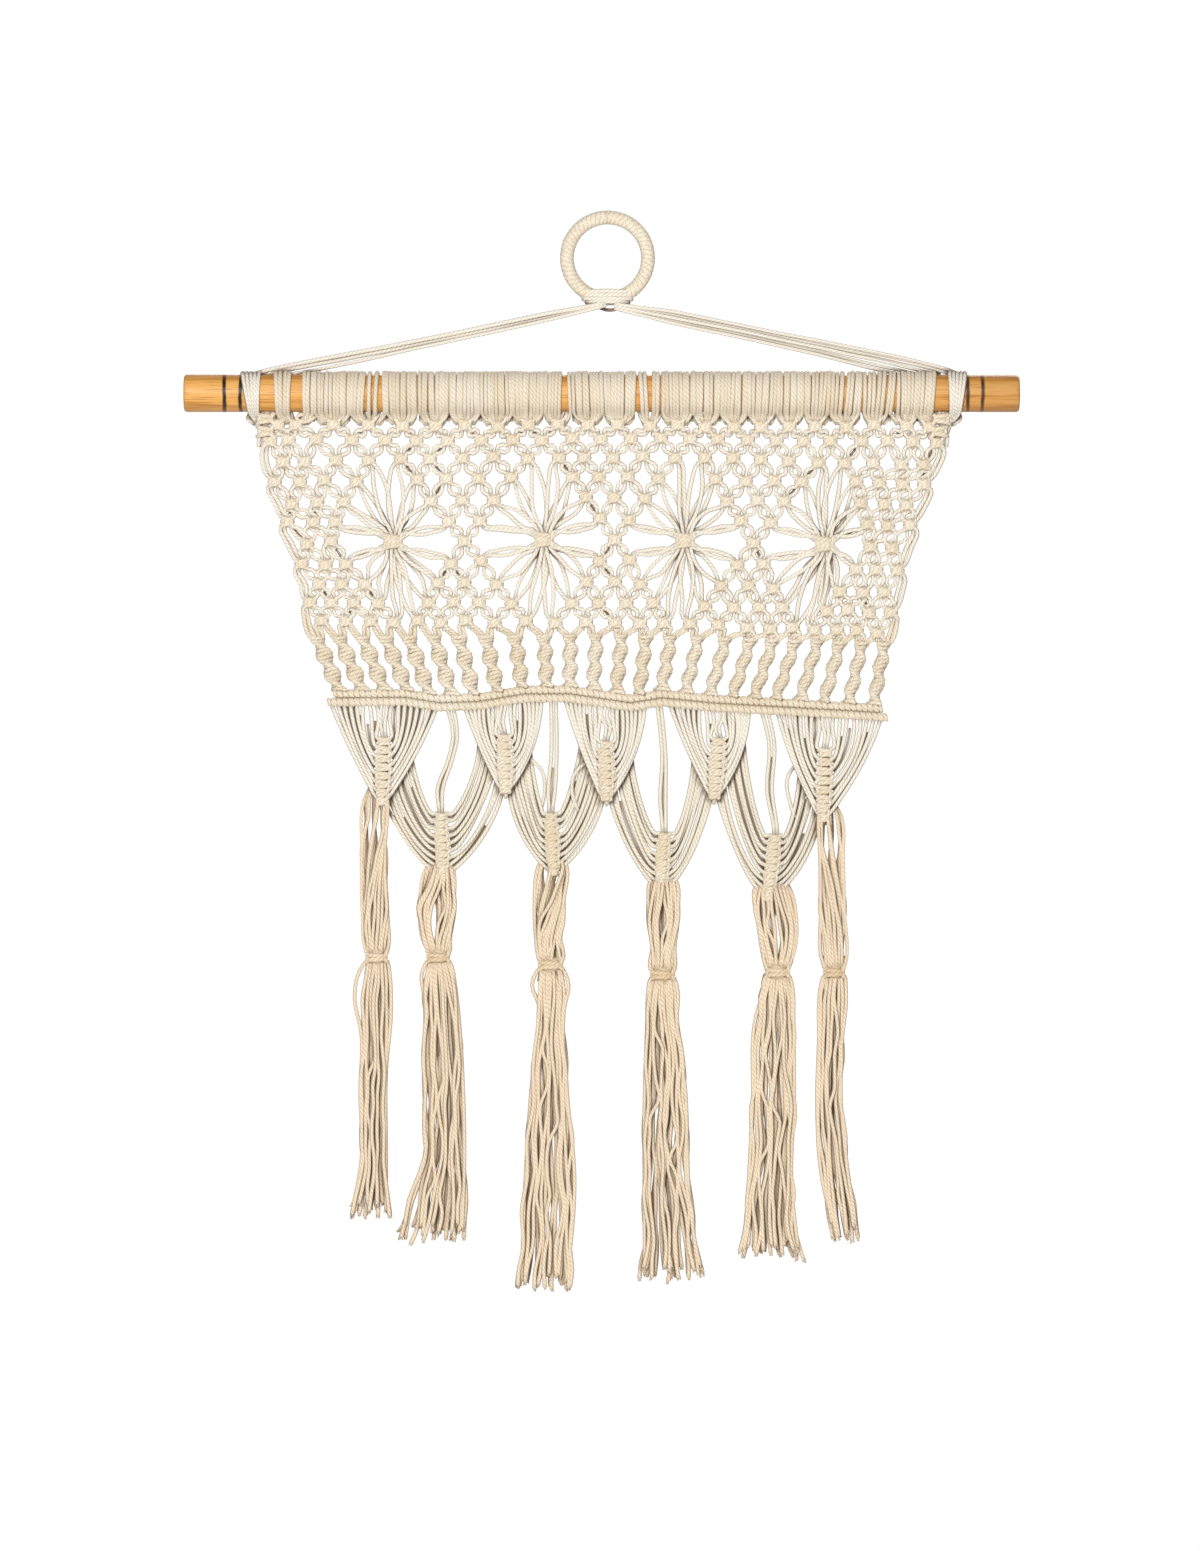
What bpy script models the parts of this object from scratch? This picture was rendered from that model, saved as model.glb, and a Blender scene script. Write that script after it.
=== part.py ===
"""Macrame wall hanging on a wooden dowel, hung by a cord-wrapped ring.

+X runs to the viewer's right, +Z up, and the front faces -Y. The origin is where
the nail carries the ring: the middle of the ring's tube, at its inner top.
Sizes are in millimetres until Shell.finish turns them into metres.
"""

import math
import random

import bmesh
import bpy

MM = 0.001
GAP = 0.3  # clear space between pieces that touch in life

CORD = 2.5  # twisted cotton cord, across
PAIR = 1.76 * CORD  # two cords side by side, slightly pressed together

RING_CENTRE_Z = -20.4
RING_RADIUS = 24.6  # to the middle of the tube
RING_TUBE = 4.2
RING_RIDGE = 0.35
RING_TURNS = 14
RING_SIDES = 6

DOWEL_LEFT = -254.0
DOWEL_RIGHT = 247.0
DOWEL_RADIUS = 11.25
DOWEL_Z = -101.6
DOWEL_SIDES = 16
DOWEL_CHAMFER = 1.5

SLEEVE_SIDES = 10
SLEEVE_OUTER = 14.0
SLEEVE_RIDGE = 0.8
SLEEVE_PITCH = 14.0  # one ridge stands for a few turns
WRAP_PITCH = 4.0
SLEEVE_GROUPS = (  # where cords are wound on the dowel: left and right edge
    {"left": -198.3, "right": -189.3},
    {"left": -182.7, "right": -137.7},
    {"left": -133.5, "right": -27.3},
    {"left": -23.7, "right": 15.9},
    {"left": 20.1, "right": 196.5},
)

HANGER_STRAND = 2.2
HANGER_PITCH = 2.7
HANGER_DEPTHS = {"start": -6.0, "middle": -1.0, "end": 0.0}
HANGER_FAN = {"start": 0.0, "middle": 1.0, "end": 0.0}
HANGERS = (  # a bundle from the ring to the dowel, as named spots along it
    {
        "name": "hanger_left",
        "strands": 3,
        "start": (-3.0, -48.9),
        "middle": (-110.0, -71.5),
        "end": (-210.5, -88.6),
        "rise": 2.4,
        "wrap": (-214.5, -206.7),
    },
    {
        "name": "hanger_right",
        "strands": 5,
        "start": (3.0, -51.2),
        "middle": (110.0, -70.8),
        "end": (209.0, -88.6),
        "rise": 1.8,
        "wrap": (205.5, 212.7),
    },
)
LARKS_HEAD = {"left": -14.2, "right": 14.2, "top": -39.4, "bottom": -49.6, "depth": 2.7}
LARKS_HEAD_GAP = 0.5

# The net is 48 runs of two cords. Each row below is a level of knots, with the drop
# under the origin at three places and the net's spread at eleven of the runs.
RUNS = 48
DROP_AT = (0.0, 23.5, 47.0)
SPREAD_AT = (0.0, 3.5, 8.5, 13.5, 18.5, 23.5, 28.5, 33.5, 38.5, 43.5, 47.0)
LEVELS = (
    {"row": 1, "drop": (120, 120, 120.5),
     "spread": (-207, -187, -132, -85, -39, 7, 51, 92.5, 133.5, 179, 203)},
    {"row": 3, "drop": (143, 140, 145),
     "spread": (-206, -181.5, -134, -87.5, -38, 3.5, 49, 92.5, 134.5, 176, 198)},
    {"row": 5, "drop": (167.5, 164.5, 168.5),
     "spread": (-198.5, -175, -131.5, -87.5, -38, 4.5, 47.5, 89.5, 132.5, 166.5, 189.5)},
    {"row": 7, "drop": (191.5, 189, 194),
     "spread": (-191, -166.5, -128.5, -86.5, -38, 5, 46.5, 87.5, 130.5, 158, 181)},
    {"row": 9, "drop": (217, 215, 221.5),
     "spread": (-182.5, -160, -125, -86, -38.5, 4.5, 44, 85.5, 122, 152.5, 175.5)},
    {"row": 11, "drop": (238, 239, 245.5),
     "spread": (-182, -157, -120.5, -85, -40, 4, 40.5, 83.5, 117.5, 150, 172)},
    {"row": 12, "drop": (249.5, 248, 253),
     "spread": (-178, -154.5, -119.5, -82, -38, 1, 38, 79.5, 113, 146.5, 169.5)},
    {"row": 13, "drop": (279, 281, 286),
     "spread": (-164.5, -140.5, -107, -73.5, -36.5, -1.5, 32.5, 68.5, 101, 137, 163.5)},
)
EDGE_INWARD = 3.0  # the outer cords start this far inside the first row
LAST_NET_ROW = 11
SPIRAL_TOP_ROW = 12
SPIRAL_FOOT_ROW = 13
MOTIF_RUNS = (9, 19, 29, 39)  # the first run right of each motif's centre
MOTIF_ROW = 7
MOTIF_HALF = 4  # runs gathered on each side of a motif's centre
KNOT_REACH = (4.1, 3.1)  # half of a knot's width and height
MOTIF_REACH = (6.6, 8.0)
BAND_HALF_DEPTH = 1.3
BOW_HALF = PAIR / 2 - 0.6  # half width of the cords that bow out along the net's edges
TOP_GAP = 1.6  # between the cords of two knots where they leave the dowel
KNOT_BUMP = 1.3
MOTIF_BUMP = 2.4
SPIRAL_STEPS = 6
SPIRAL_LOBE = (4.5, 3.0)  # half width and half depth of a turn at its widest
SPIRAL_NECK = (3.5, 2.8)
SPIRAL_FLARE = (5.0, 2.8)  # where it meets the bar

BAR_LINE = (  # the groove between the two bars
    (-167.0, -284.4), (-121.5, -284.1), (-100.5, -287.4), (-76.5, -286.5), (-49.5, -282.0),
    (-22.5, -282.0), (14.0, -287.4), (32.5, -284.4), (62.5, -287.4), (125.5, -291.0),
    (167.5, -293.4),
)
BAR_HEIGHT = 5.2  # of one bar
BAR_STEP = 12.0
BAR_HOLLOW = 0.86  # its height between two ridges, as a share
BAR_END = 0.55
BAR_SECTION = (  # depth and height of a corner, as shares of one bar's height
    (0.0, 1.0), (-0.52, 0.52), (-0.24, 0.0), (-0.52, -0.52),
    (0.0, -1.0), (0.52, -0.52), (0.24, 0.0), (0.52, 0.52),
)

KNOTS = 8  # square knots in a column
COLUMN_WIDE = (4.3, 2.9)  # half width and half depth over a knot
COLUMN_NARROW = (3.1, 2.2)
SIDE_BANDS = 4  # pairs of cords that come in on each side of a column
SIDE_BAND_SHARE = 0.08  # the most that half of a band takes of its side's width
FILLER = (2.4, 1.8)  # half width and half depth of the two cords a column is knotted on
UPPER_SWAGS = (
    {"left": -167.0, "right": -101.5, "top": (-134.0, -308.0), "foot": (-135.5, -349.0)},
    {"left": -86.5, "right": -38.5, "top": (-62.0, -306.5), "foot": (-61.0, -341.5)},
    {"left": -26.5, "right": 23.5, "top": (-1.0, -310.5), "foot": (-0.5, -346.0)},
    {"left": 36.5, "right": 86.0, "top": (67.0, -308.5), "foot": (64.0, -345.0)},
    {"left": 101.0, "right": 165.0, "top": (130.5, -314.5), "foot": (129.5, -359.0)},
)
LOWER_SWAGS = (  # thread: where its free pair of cords leaves the bar; below: its way down
    {"thread": -94, "below": ((-91.5, -308), (-94, -321), (-101, -340)),
     "top": (-100.0, -353.5), "foot": (-98.5, -393.5)},
    {"thread": -32.5, "below": ((-32.5, -320), (-33.5, -340)),
     "top": (-34.0, -353.5), "foot": (-32.0, -391.0)},
    {"thread": 31, "below": ((34, -322), (33.5, -345)),
     "top": (34.0, -365.5), "foot": (32.5, -401.5)},
    {"thread": 94, "below": ((98.5, -311), (97.5, -340)),
     "top": (101.0, -366.5), "foot": (96.5, -406.0)},
)
BEHIND = 4.9  # how far behind the upper columns the lower cords start
ASIDE = 2.3  # and how far to the side of their middle line, the lowest band least
ASIDE_STEP = 2.0
BAND_STEPS = (0, 0.38, 0.75, 1)  # where a side band has its rings

TASSELS = (  # half: half width from the top to the ends; along: middle line, top to ends
    {"from": ("upper", 0), "columns": 3, "layers": 2, "knot": -440,
     "drops": (-346, -376, -415, -440, -460, -520, -562, -598),
     "along": (-139, -140.5, -139.5, -138.5, -139, -140.5, -140, -142.5),
     "half": (4.5, 7.2, 8.4, 5.7, 7.8, 7.8, 7.8, 12)},
    {"from": ("lower", 0), "columns": 4, "layers": 3, "knot": -440,
     "drops": (-388, -409, -430, -440, -466, -514, -556, -612),
     "along": (-99, -102.5, -102.5, -101.5, -100.5, -98.5, -97.5, -105.5),
     "half": (6, 10.4, 8.1, 7.5, 10.8, 12, 12, 20)},
    {"from": ("lower", 1), "columns": 4, "layers": 3, "knot": -444.5,
     "drops": (-386, -406, -430, -444.5, -466, -520, -574, -641),
     "along": (-32, -35, -35.5, -34, -33.5, -35, -34.5, -38),
     "half": (6, 9.3, 7.5, 6.8, 7.8, 10.8, 15, 15.6)},
    {"from": ("lower", 2), "columns": 4, "layers": 3, "knot": -450.5,
     "drops": (-396, -412, -436, -450.5, -466, -520, -580, -636),
     "along": (32.5, 33.5, 33.5, 33, 32.5, 34.5, 35.5, 38.5),
     "half": (6, 9, 7.2, 6.8, 8.4, 12.6, 13.8, 18)},
    {"from": ("lower", 3), "columns": 4, "layers": 3, "knot": -449,
     "drops": (-400, -415, -436, -449, -466, -526, -574, -622),
     "along": (97, 101, 102.5, 102, 100.5, 99.5, 97.5, 98),
     "half": (6, 11, 9.2, 7.2, 10.2, 12.6, 13.2, 18)},
    {"from": ("upper", 4), "columns": 3, "layers": 2, "knot": -449,
     "drops": (-356, -382, -412, -449, -466, -526, -574, -611),
     "along": (133.5, 134.5, 135, 136, 134.5, 133, 137, 143),
     "half": (4.5, 7.2, 7.8, 5.4, 7.2, 7.5, 8.4, 8.4)},
)
TASSEL_KNOT_HEIGHT = 6.5
TASSEL_KNOT_STEPS = 6
TASSEL_KNOT_HOLLOW = 0.86
KNOT_MARGIN = 0.8
LAYER_PITCH = 3.0
LOCK_PITCH = 3.4
LOCK_RISE = 3.0  # how far behind a column's foot its locks reach up
LOCK_STEPS = (0.3, 0.6)
STRAND_STEPS = (0.16, 0.42, 0.7, 1.0)
ROOT_GAP = 0.4
WANDER = 0.12
STRAND_HALF = 1.3
LOCK_HALF = 1.5
IN_KNOT = 0.8  # how far the strands draw together inside the tassel's knot
STAGGER = 0.3
RAGGED = 5.0  # how much the ends differ in length
SEED = 4

COTTON_CREAM = (0.87, 0.79, 0.66)
COTTON_BEIGE = (0.80, 0.68, 0.52)
WOOD_TAN = (0.78, 0.47, 0.17)


def clear_scene():
    for thing in list(bpy.data.objects):
        bpy.data.objects.remove(thing, do_unlink=True)


def material(name, colour, roughness):
    made = bpy.data.materials.new(name)
    made.use_nodes = True
    shader = made.node_tree.nodes["Principled BSDF"]
    shader.inputs["Base Color"].default_value = (*colour, 1.0)
    shader.inputs["Roughness"].default_value = roughness
    shader.inputs["Metallic"].default_value = 0.0
    return made


def lerp(a, b, t):
    return a + (b - a) * t


def between(at, spots, values):
    """The value at a place along a list of spots, in straight runs, kept to its ends."""
    for i in range(len(spots) - 1):
        if at <= spots[i + 1] or i == len(spots) - 2:
            t = (at - spots[i]) / (spots[i + 1] - spots[i])
            return lerp(values[i], values[i + 1], max(0.0, min(1.0, t)))
    return values[-1]


def bezier(t, a, b, c, d):
    s = 1.0 - t
    weights = (s * s * s, 3 * s * s * t, 3 * s * t * t, t * t * t)
    return tuple(
        sum(w * p[i] for w, p in zip(weights, (a, b, c, d))) for i in range(len(a))
    )


class Shell:
    """Points and faces of one body."""

    def __init__(self):
        self.points = []
        self.faces = []

    def add(self, x, y, z):
        self.points.append((x, y, z))
        return len(self.points) - 1

    def bridge(self, first, second):
        count = len(first)
        for i in range(count):
            j = (i + 1) % count
            self.faces.append((first[i], first[j], second[j], second[i]))

    def cap(self, ring):
        self.faces.append(tuple(ring))

    def flat_ring(self, x, y, z, heading, half_width, half_depth):
        """Four corners across a band: left and right front, right and left back."""
        left_x = -math.sin(heading) * half_width
        left_z = math.cos(heading) * half_width
        return [
            self.add(x + left_x, y - half_depth, z + left_z),
            self.add(x - left_x, y - half_depth, z - left_z),
            self.add(x - left_x, y + half_depth, z - left_z),
            self.add(x + left_x, y + half_depth, z + left_z),
        ]

    def level_ring(self, x, y, z, half_width, half_depth, corners, turn=0.0):
        """Corners round an upright axis, from angles given in degrees."""
        ring = []
        for corner in corners:
            angle = math.radians(corner + turn)
            ring.append(
                self.add(
                    x + half_width * math.cos(angle), y + half_depth * math.sin(angle), z
                )
            )
        return ring

    def finish(self, name, look, smooth=True):
        mesh = bpy.data.meshes.new(name)
        mesh.from_pydata(
            [(x * MM, y * MM, z * MM) for x, y, z in self.points], [], self.faces
        )
        shaped = bmesh.new()
        shaped.from_mesh(mesh)
        bmesh.ops.recalc_face_normals(shaped, faces=shaped.faces)
        if shaped.calc_volume(signed=True) < 0:
            bmesh.ops.reverse_faces(shaped, faces=shaped.faces)
        shaped.to_mesh(mesh)
        shaped.free()
        mesh.materials.append(look)
        if smooth:
            mesh.shade_smooth()
            mesh.set_sharp_from_angle(angle=math.radians(35))
        piece = bpy.data.objects.new(name, mesh)
        bpy.context.scene.collection.objects.link(piece)
        return piece


def fuse(body, other):
    """Unites a helper, which the render leaves out, with the body."""
    other.hide_render = True
    other.display_type = "WIRE"
    union = body.modifiers.new("fused", "BOOLEAN")
    union.operation = "UNION"
    union.solver = "MANIFOLD"
    union.object = other


def around_x(shell, x, radius, sides):
    """A ring of corners round the dowel's axis, with a flat side at the bottom."""
    ring = []
    for i in range(sides):
        angle = 2 * math.pi * (i + 0.5) / sides - math.pi / 2
        ring.append(
            shell.add(x, radius * math.cos(angle), DOWEL_Z + radius * math.sin(angle))
        )
    return ring


# ---- hard pieces ----


def build_dowel(look):
    shell = Shell()
    small = DOWEL_RADIUS - DOWEL_CHAMFER
    stations = (
        (DOWEL_LEFT, small),
        (DOWEL_LEFT + DOWEL_CHAMFER, DOWEL_RADIUS),
        (DOWEL_RIGHT - DOWEL_CHAMFER, DOWEL_RADIUS),
        (DOWEL_RIGHT, small),
    )
    rings = [around_x(shell, x, radius, DOWEL_SIDES) for x, radius in stations]
    for first, second in zip(rings, rings[1:]):
        shell.bridge(first, second)
    shell.cap(rings[0])
    shell.cap(rings[-1])
    return shell.finish("dowel", look)


def build_ring(look):
    """The wrapping's turns show as low ridges along the tube."""
    shell = Shell()
    rings = []
    for i in range(2 * RING_TURNS):
        angle = 2 * math.pi * i / (2 * RING_TURNS)
        tube = RING_TUBE if i % 2 else RING_TUBE - RING_RIDGE
        ring = []
        for j in range(RING_SIDES):
            around = 2 * math.pi * (j + 0.5) / RING_SIDES
            out = RING_RADIUS + tube * math.cos(around)
            ring.append(
                shell.add(
                    out * math.sin(angle),
                    tube * math.sin(around),
                    RING_CENTRE_Z + out * math.cos(angle),
                )
            )
        rings.append(ring)
    for i, ring in enumerate(rings):
        shell.bridge(ring, rings[(i + 1) % len(rings)])
    return shell.finish("hanging_ring", look)


# ---- cords on the dowel ----


def sleeve(shell, left, right, pitch):
    """Cords wound side by side round the dowel: a ridged tube with the dowel's hole."""
    inner = (DOWEL_RADIUS + GAP) / math.cos(math.pi / SLEEVE_SIDES)
    count = max(2, 2 * round((right - left) / pitch))
    outside = []
    for i in range(count + 1):
        x = lerp(left, right, i / count)
        low = i % 2 == 0
        radius = SLEEVE_OUTER - (SLEEVE_RIDGE if low else 0.0)
        outside.append(around_x(shell, x, radius, SLEEVE_SIDES))
    for first, second in zip(outside, outside[1:]):
        shell.bridge(first, second)
    holes = [around_x(shell, x, inner, SLEEVE_SIDES) for x in (left, right)]
    shell.bridge(holes[0], holes[1])
    shell.bridge(outside[0], holes[0])
    shell.bridge(outside[-1], holes[1])


def build_sleeves(look):
    for number, group in enumerate(SLEEVE_GROUPS, 1):
        shell = Shell()
        sleeve(shell, group["left"], group["right"], SLEEVE_PITCH)
        shell.finish(f"dowel_loops_{number}", look)


def band_along(shell, spots, half_width, half_depth):
    """A closed band through spots (x, y, z), with flat ends."""
    rings = []
    for i, (x, y, z) in enumerate(spots):
        before = spots[max(0, i - 1)]
        after = spots[min(len(spots) - 1, i + 1)]
        heading = math.atan2(after[2] - before[2], after[0] - before[0])
        rings.append(shell.flat_ring(x, y, z, heading, half_width, half_depth))
    for first, second in zip(rings, rings[1:]):
        shell.bridge(first, second)
    shell.cap(rings[0])
    shell.cap(rings[-1])


def build_hanger(plan, look):
    wrap = Shell()
    sleeve(wrap, *plan["wrap"], WRAP_PITCH)
    body = wrap.finish(plan["name"], look)
    count = plan["strands"]
    for i in range(count):
        # side by side in depth at the ring and the dowel, and a fan in height between
        place = i - (count - 1) / 2
        spots = []
        for spot, y in HANGER_DEPTHS.items():
            x, z = plan[spot]
            fan = HANGER_FAN[spot]
            depth = place * HANGER_PITCH * (1.0 - fan)
            spots.append((x, y + depth, z + place * plan["rise"] * fan))
        strand_shell = Shell()
        band_along(strand_shell, spots, HANGER_STRAND / 2, HANGER_STRAND / 2)
        fuse(body, strand_shell.finish(f"{plan['name']}_strand_{i + 1}", look))
    return body


def build_larks_head(left_hanger, look):
    """The flat band of cords over the ring's foot, joined to the left bundle."""
    shell = Shell()
    head = LARKS_HEAD
    middle_z = (head["top"] + head["bottom"]) / 2
    half_height = (head["top"] - head["bottom"]) / 2
    y = -RING_TUBE - LARKS_HEAD_GAP - head["depth"] / 2
    spots = [
        (lerp(head["left"], head["right"], i / 3), y, middle_z) for i in range(4)
    ]
    band_along(shell, spots, half_height, head["depth"] / 2)
    fuse(left_hanger, shell.finish("larks_head", look))


# ---- the net ----


def net_point(run, row):
    """Where a run of cords stands at a row: x and z."""
    rows = [level["row"] for level in LEVELS]
    spreads = [between(run, SPREAD_AT, level["spread"]) for level in LEVELS]
    drops = [between(run, DROP_AT, level["drop"]) for level in LEVELS]
    return between(row, rows, spreads), -between(row, rows, drops)


def in_motif(left_run, row):
    """Whether the knot on this run and the next is one that a motif leaves out."""
    away = abs(row - MOTIF_ROW)
    for first in MOTIF_RUNS:
        offset = abs(left_run + 0.5 - (first - 0.5))
        if offset < MOTIF_HALF - away + 0.5:
            return True
    return False


def net_stops():
    """For each run, the knots it passes: (row, key), a motif's centre among them."""
    knots = {}
    stops = {run: [] for run in range(RUNS)}
    for row in range(1, SPIRAL_TOP_ROW + 1):
        first = 1 if row % 2 else 0
        for left_run in range(first, RUNS - 1, 2):
            if row <= LAST_NET_ROW and in_motif(left_run, row):
                continue
            key = (row, left_run)
            knots[key] = net_point(left_run + 0.5, row)
            stops[left_run].append((row, key))
            stops[left_run + 1].append((row, key))
        if row != MOTIF_ROW:
            continue
        for first_run in MOTIF_RUNS:
            key = ("motif", first_run)
            knots[key] = net_point(first_run - 0.5, MOTIF_ROW)
            for run in range(first_run - MOTIF_HALF, first_run + MOTIF_HALF):
                stops[run].append((row, key))
    return knots, stops


def net_bands(stops):
    """Each band as its two knots and, on the net's edges, the spot where it bows."""
    bands = []
    for run, passed in stops.items():
        for (row, upper), (next_row, lower) in zip(passed, passed[1:]):
            bow = None
            if run in (0, RUNS - 1) and next_row - row == 2:
                bow = net_point(run, row + 1)
            bands.append((upper, lower, bow))
    return bands


def knot_sides(shell, centre, ends, reach, bump):
    """A knot as a flat polygon with a raised middle and one side for each band.

    ends maps a label to its direction. The result maps the label to the corners of
    its side, in the order of a band that leaves the knot.
    """
    order = sorted(ends, key=lambda label: ends[label])
    front = []
    back = []
    for i, label in enumerate(order):
        here = ends[label]
        after = ends[order[(i + 1) % len(order)]]
        if after <= here:
            after += 2 * math.pi
        angle = (here + after) / 2
        x = centre[0] + reach[0] * math.cos(angle)
        z = centre[1] + reach[1] * math.sin(angle)
        front.append(shell.add(x, -BAND_HALF_DEPTH, z))
        back.append(shell.add(x, BAND_HALF_DEPTH, z))
    top = shell.add(centre[0], -BAND_HALF_DEPTH - bump, centre[1])
    for i in range(len(order)):
        shell.faces.append((front[i - 1], front[i], top))
    shell.cap(back)
    return {
        label: [front[i], front[i - 1], back[i - 1], back[i]]
        for i, label in enumerate(order)
    }


def arriving(ring):
    """The same corners, in the order of a band that comes in."""
    return [ring[1], ring[0], ring[3], ring[2]]


def direction(start, end):
    return math.atan2(end[1] - start[1], end[0] - start[0]) % (2 * math.pi)


def build_net(look):
    shell = Shell()
    knots, stops = net_stops()
    bands = net_bands(stops)
    ends = {key: {} for key in knots}
    for i, (upper, lower, bow) in enumerate(bands):
        ends[upper][("out", i)] = direction(knots[upper], bow or knots[lower])
        ends[lower][("in", i)] = direction(knots[lower], bow or knots[upper])
    for key in knots:
        if key[0] in (1, SPIRAL_TOP_ROW):
            ends[key]["end"] = math.radians(90 if key[0] == 1 else 270)
    for run in (0, RUNS - 1):
        key = stops[run][0][1]
        ends[key]["end"] = direction(knots[key], net_point(run, 1))
    sides = {}
    for key, centre in knots.items():
        motif = key[0] == "motif"
        sides[key] = knot_sides(
            shell,
            centre,
            ends[key],
            MOTIF_REACH if motif else KNOT_REACH,
            MOTIF_BUMP if motif else KNOT_BUMP,
        )
    for i, (upper, lower, bow) in enumerate(bands):
        start = sides[upper][("out", i)]
        end = arriving(sides[lower][("in", i)])
        if bow:
            heading = direction(knots[upper], knots[lower])
            middle = shell.flat_ring(
                bow[0], 0.0, bow[1], heading, BOW_HALF, BAND_HALF_DEPTH
            )
            shell.bridge(start, middle)
            start = middle
        shell.bridge(start, end)
    add_net_tops(shell, knots, sides, stops)
    for left_run in range(0, RUNS - 1, 2):
        add_spiral(shell, sides[(SPIRAL_TOP_ROW, left_run)]["end"], left_run)
    return shell.finish("knotted_net", look, smooth=False)


def add_net_tops(shell, knots, sides, stops):
    """The cords of the first row spread up to the loops on the dowel."""
    top_z = DOWEL_Z - SLEEVE_OUTER * math.cos(math.pi / SLEEVE_SIDES) - GAP
    first_row = sorted(key for key in knots if key[0] == 1)
    places = [knots[key][0] for key in first_row]
    for i, key in enumerate(first_row):
        room = [abs(places[i] - places[j]) for j in (i - 1, i + 1) if 0 <= j < len(places)]
        half = (min(room) - TOP_GAP) / 2
        ring = shell.flat_ring(
            places[i], 0.0, top_z, math.pi / 2, half, BAND_HALF_DEPTH
        )
        shell.bridge(sides[key]["end"], ring)
        shell.cap(ring)
    for run, inward in ((0, 1), (RUNS - 1, -1)):
        key = stops[run][0][1]
        x = net_point(run, 1)[0] + EDGE_INWARD * inward
        ring = shell.flat_ring(
            x, 0.0, DOWEL_Z - DOWEL_RADIUS - GAP, math.pi / 2, BOW_HALF, BAND_HALF_DEPTH
        )
        shell.bridge(sides[key]["end"], ring)
        shell.cap(ring)


def bar_z(x):
    return between(x, [spot[0] for spot in BAR_LINE], [spot[1] for spot in BAR_LINE])


def add_spiral(shell, start, left_run):
    """A sinnet of half knots: a square section that turns an eighth at each step."""
    top_x, top_z = net_point(left_run + 0.5, SPIRAL_TOP_ROW)
    foot_x = net_point(left_run + 0.5, SPIRAL_FOOT_ROW)[0]
    foot_z = bar_z(foot_x) + BAR_HEIGHT + GAP
    ring = start
    for step in range(1, SPIRAL_STEPS + 1):
        t = (step + 0.3) / (SPIRAL_STEPS + 0.3)
        half = SPIRAL_LOBE if step % 2 else SPIRAL_NECK
        if step == SPIRAL_STEPS:
            half = SPIRAL_FLARE
        following = shell.level_ring(
            lerp(top_x, foot_x, t),
            0.0,
            lerp(top_z, foot_z, t),
            *half,
            (45, 135, 225, 315),
            turn=180 + 45 * step,
        )
        # the first corner of a band that heads down is its left front one: +X, -Y
        following = following[1:] + following[:1]
        shell.bridge(ring, following)
        ring = following
    shell.cap(ring)


# ---- bars, swags and tassels ----


def build_bar(look):
    shell = Shell()
    left = BAR_LINE[0][0]
    right = BAR_LINE[-1][0]
    count = 2 * round((right - left) / BAR_STEP / 2)
    rings = []
    for i in range(count + 1):
        x = lerp(left, right, i / count)
        size = BAR_HEIGHT * (1.0 if i % 2 else BAR_HOLLOW)
        if i in (0, count):
            size = BAR_HEIGHT * BAR_END
        rings.append(
            [shell.add(x, y * size, bar_z(x) + z * size) for y, z in BAR_SECTION]
        )
    for first, second in zip(rings, rings[1:]):
        shell.bridge(first, second)
    shell.cap(rings[0])
    shell.cap(rings[-1])
    return shell.finish("double_bar", look)


COLUMN_CORNERS = (220, 270, 320, 40, 140)  # left front, front, right front, back two


def column_rings(shell, top, foot):
    """A column of square knots, each a narrow ring and then a wide one."""
    rings = []
    for i in range(2 * KNOTS + 1):
        t = i / (2 * KNOTS)
        half = COLUMN_WIDE if i % 2 else COLUMN_NARROW
        rings.append(
            shell.level_ring(
                lerp(top[0], foot[0], t), 0.0, lerp(top[1], foot[1], t),
                half[0] / math.cos(math.radians(40)), half[1], COLUMN_CORNERS,
            )
        )
    return rings


def join_column(shell, rings, lead):
    """Closes the column round its ports; lead is the rings of the cords above it.

    Returns the ports: (side, number) to four corners, for bands that arrive.
    """
    ports = {}
    whole = lead + rings
    for first, second in zip(whole, whole[1:]):
        number = rings.index(first) if first in rings else None
        for i in range(len(first)):
            j = (i + 1) % len(first)
            is_port = number is not None and number % 4 == 2
            corner = COLUMN_CORNERS[i]
            if is_port and corner == 140:
                ports[(-1, number // 4)] = [first[j], second[j], second[i], first[i]]
            elif is_port and corner == 320:
                ports[(1, number // 4)] = [second[i], first[i], first[j], second[j]]
            else:
                shell.faces.append((first[i], first[j], second[j], second[i]))
    shell.cap(whole[0])
    shell.cap(whole[-1])
    return ports


def side_band(shell, spots, half_width, half_depth, port):
    """A band through spots (x, y, z) that ends in a port of its column."""
    ring = None
    for here, after in zip(spots, spots[1:]):
        heading = math.atan2(after[2] - here[2], after[0] - here[0])
        following = shell.flat_ring(*here, heading, half_width, half_depth)
        if ring:
            shell.bridge(ring, following)
        else:
            shell.cap(following)
        ring = following
    shell.bridge(ring, port)


def middle_of(shell, ring):
    return tuple(sum(shell.points[i][k] for i in ring) / len(ring) for k in range(3))


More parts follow.
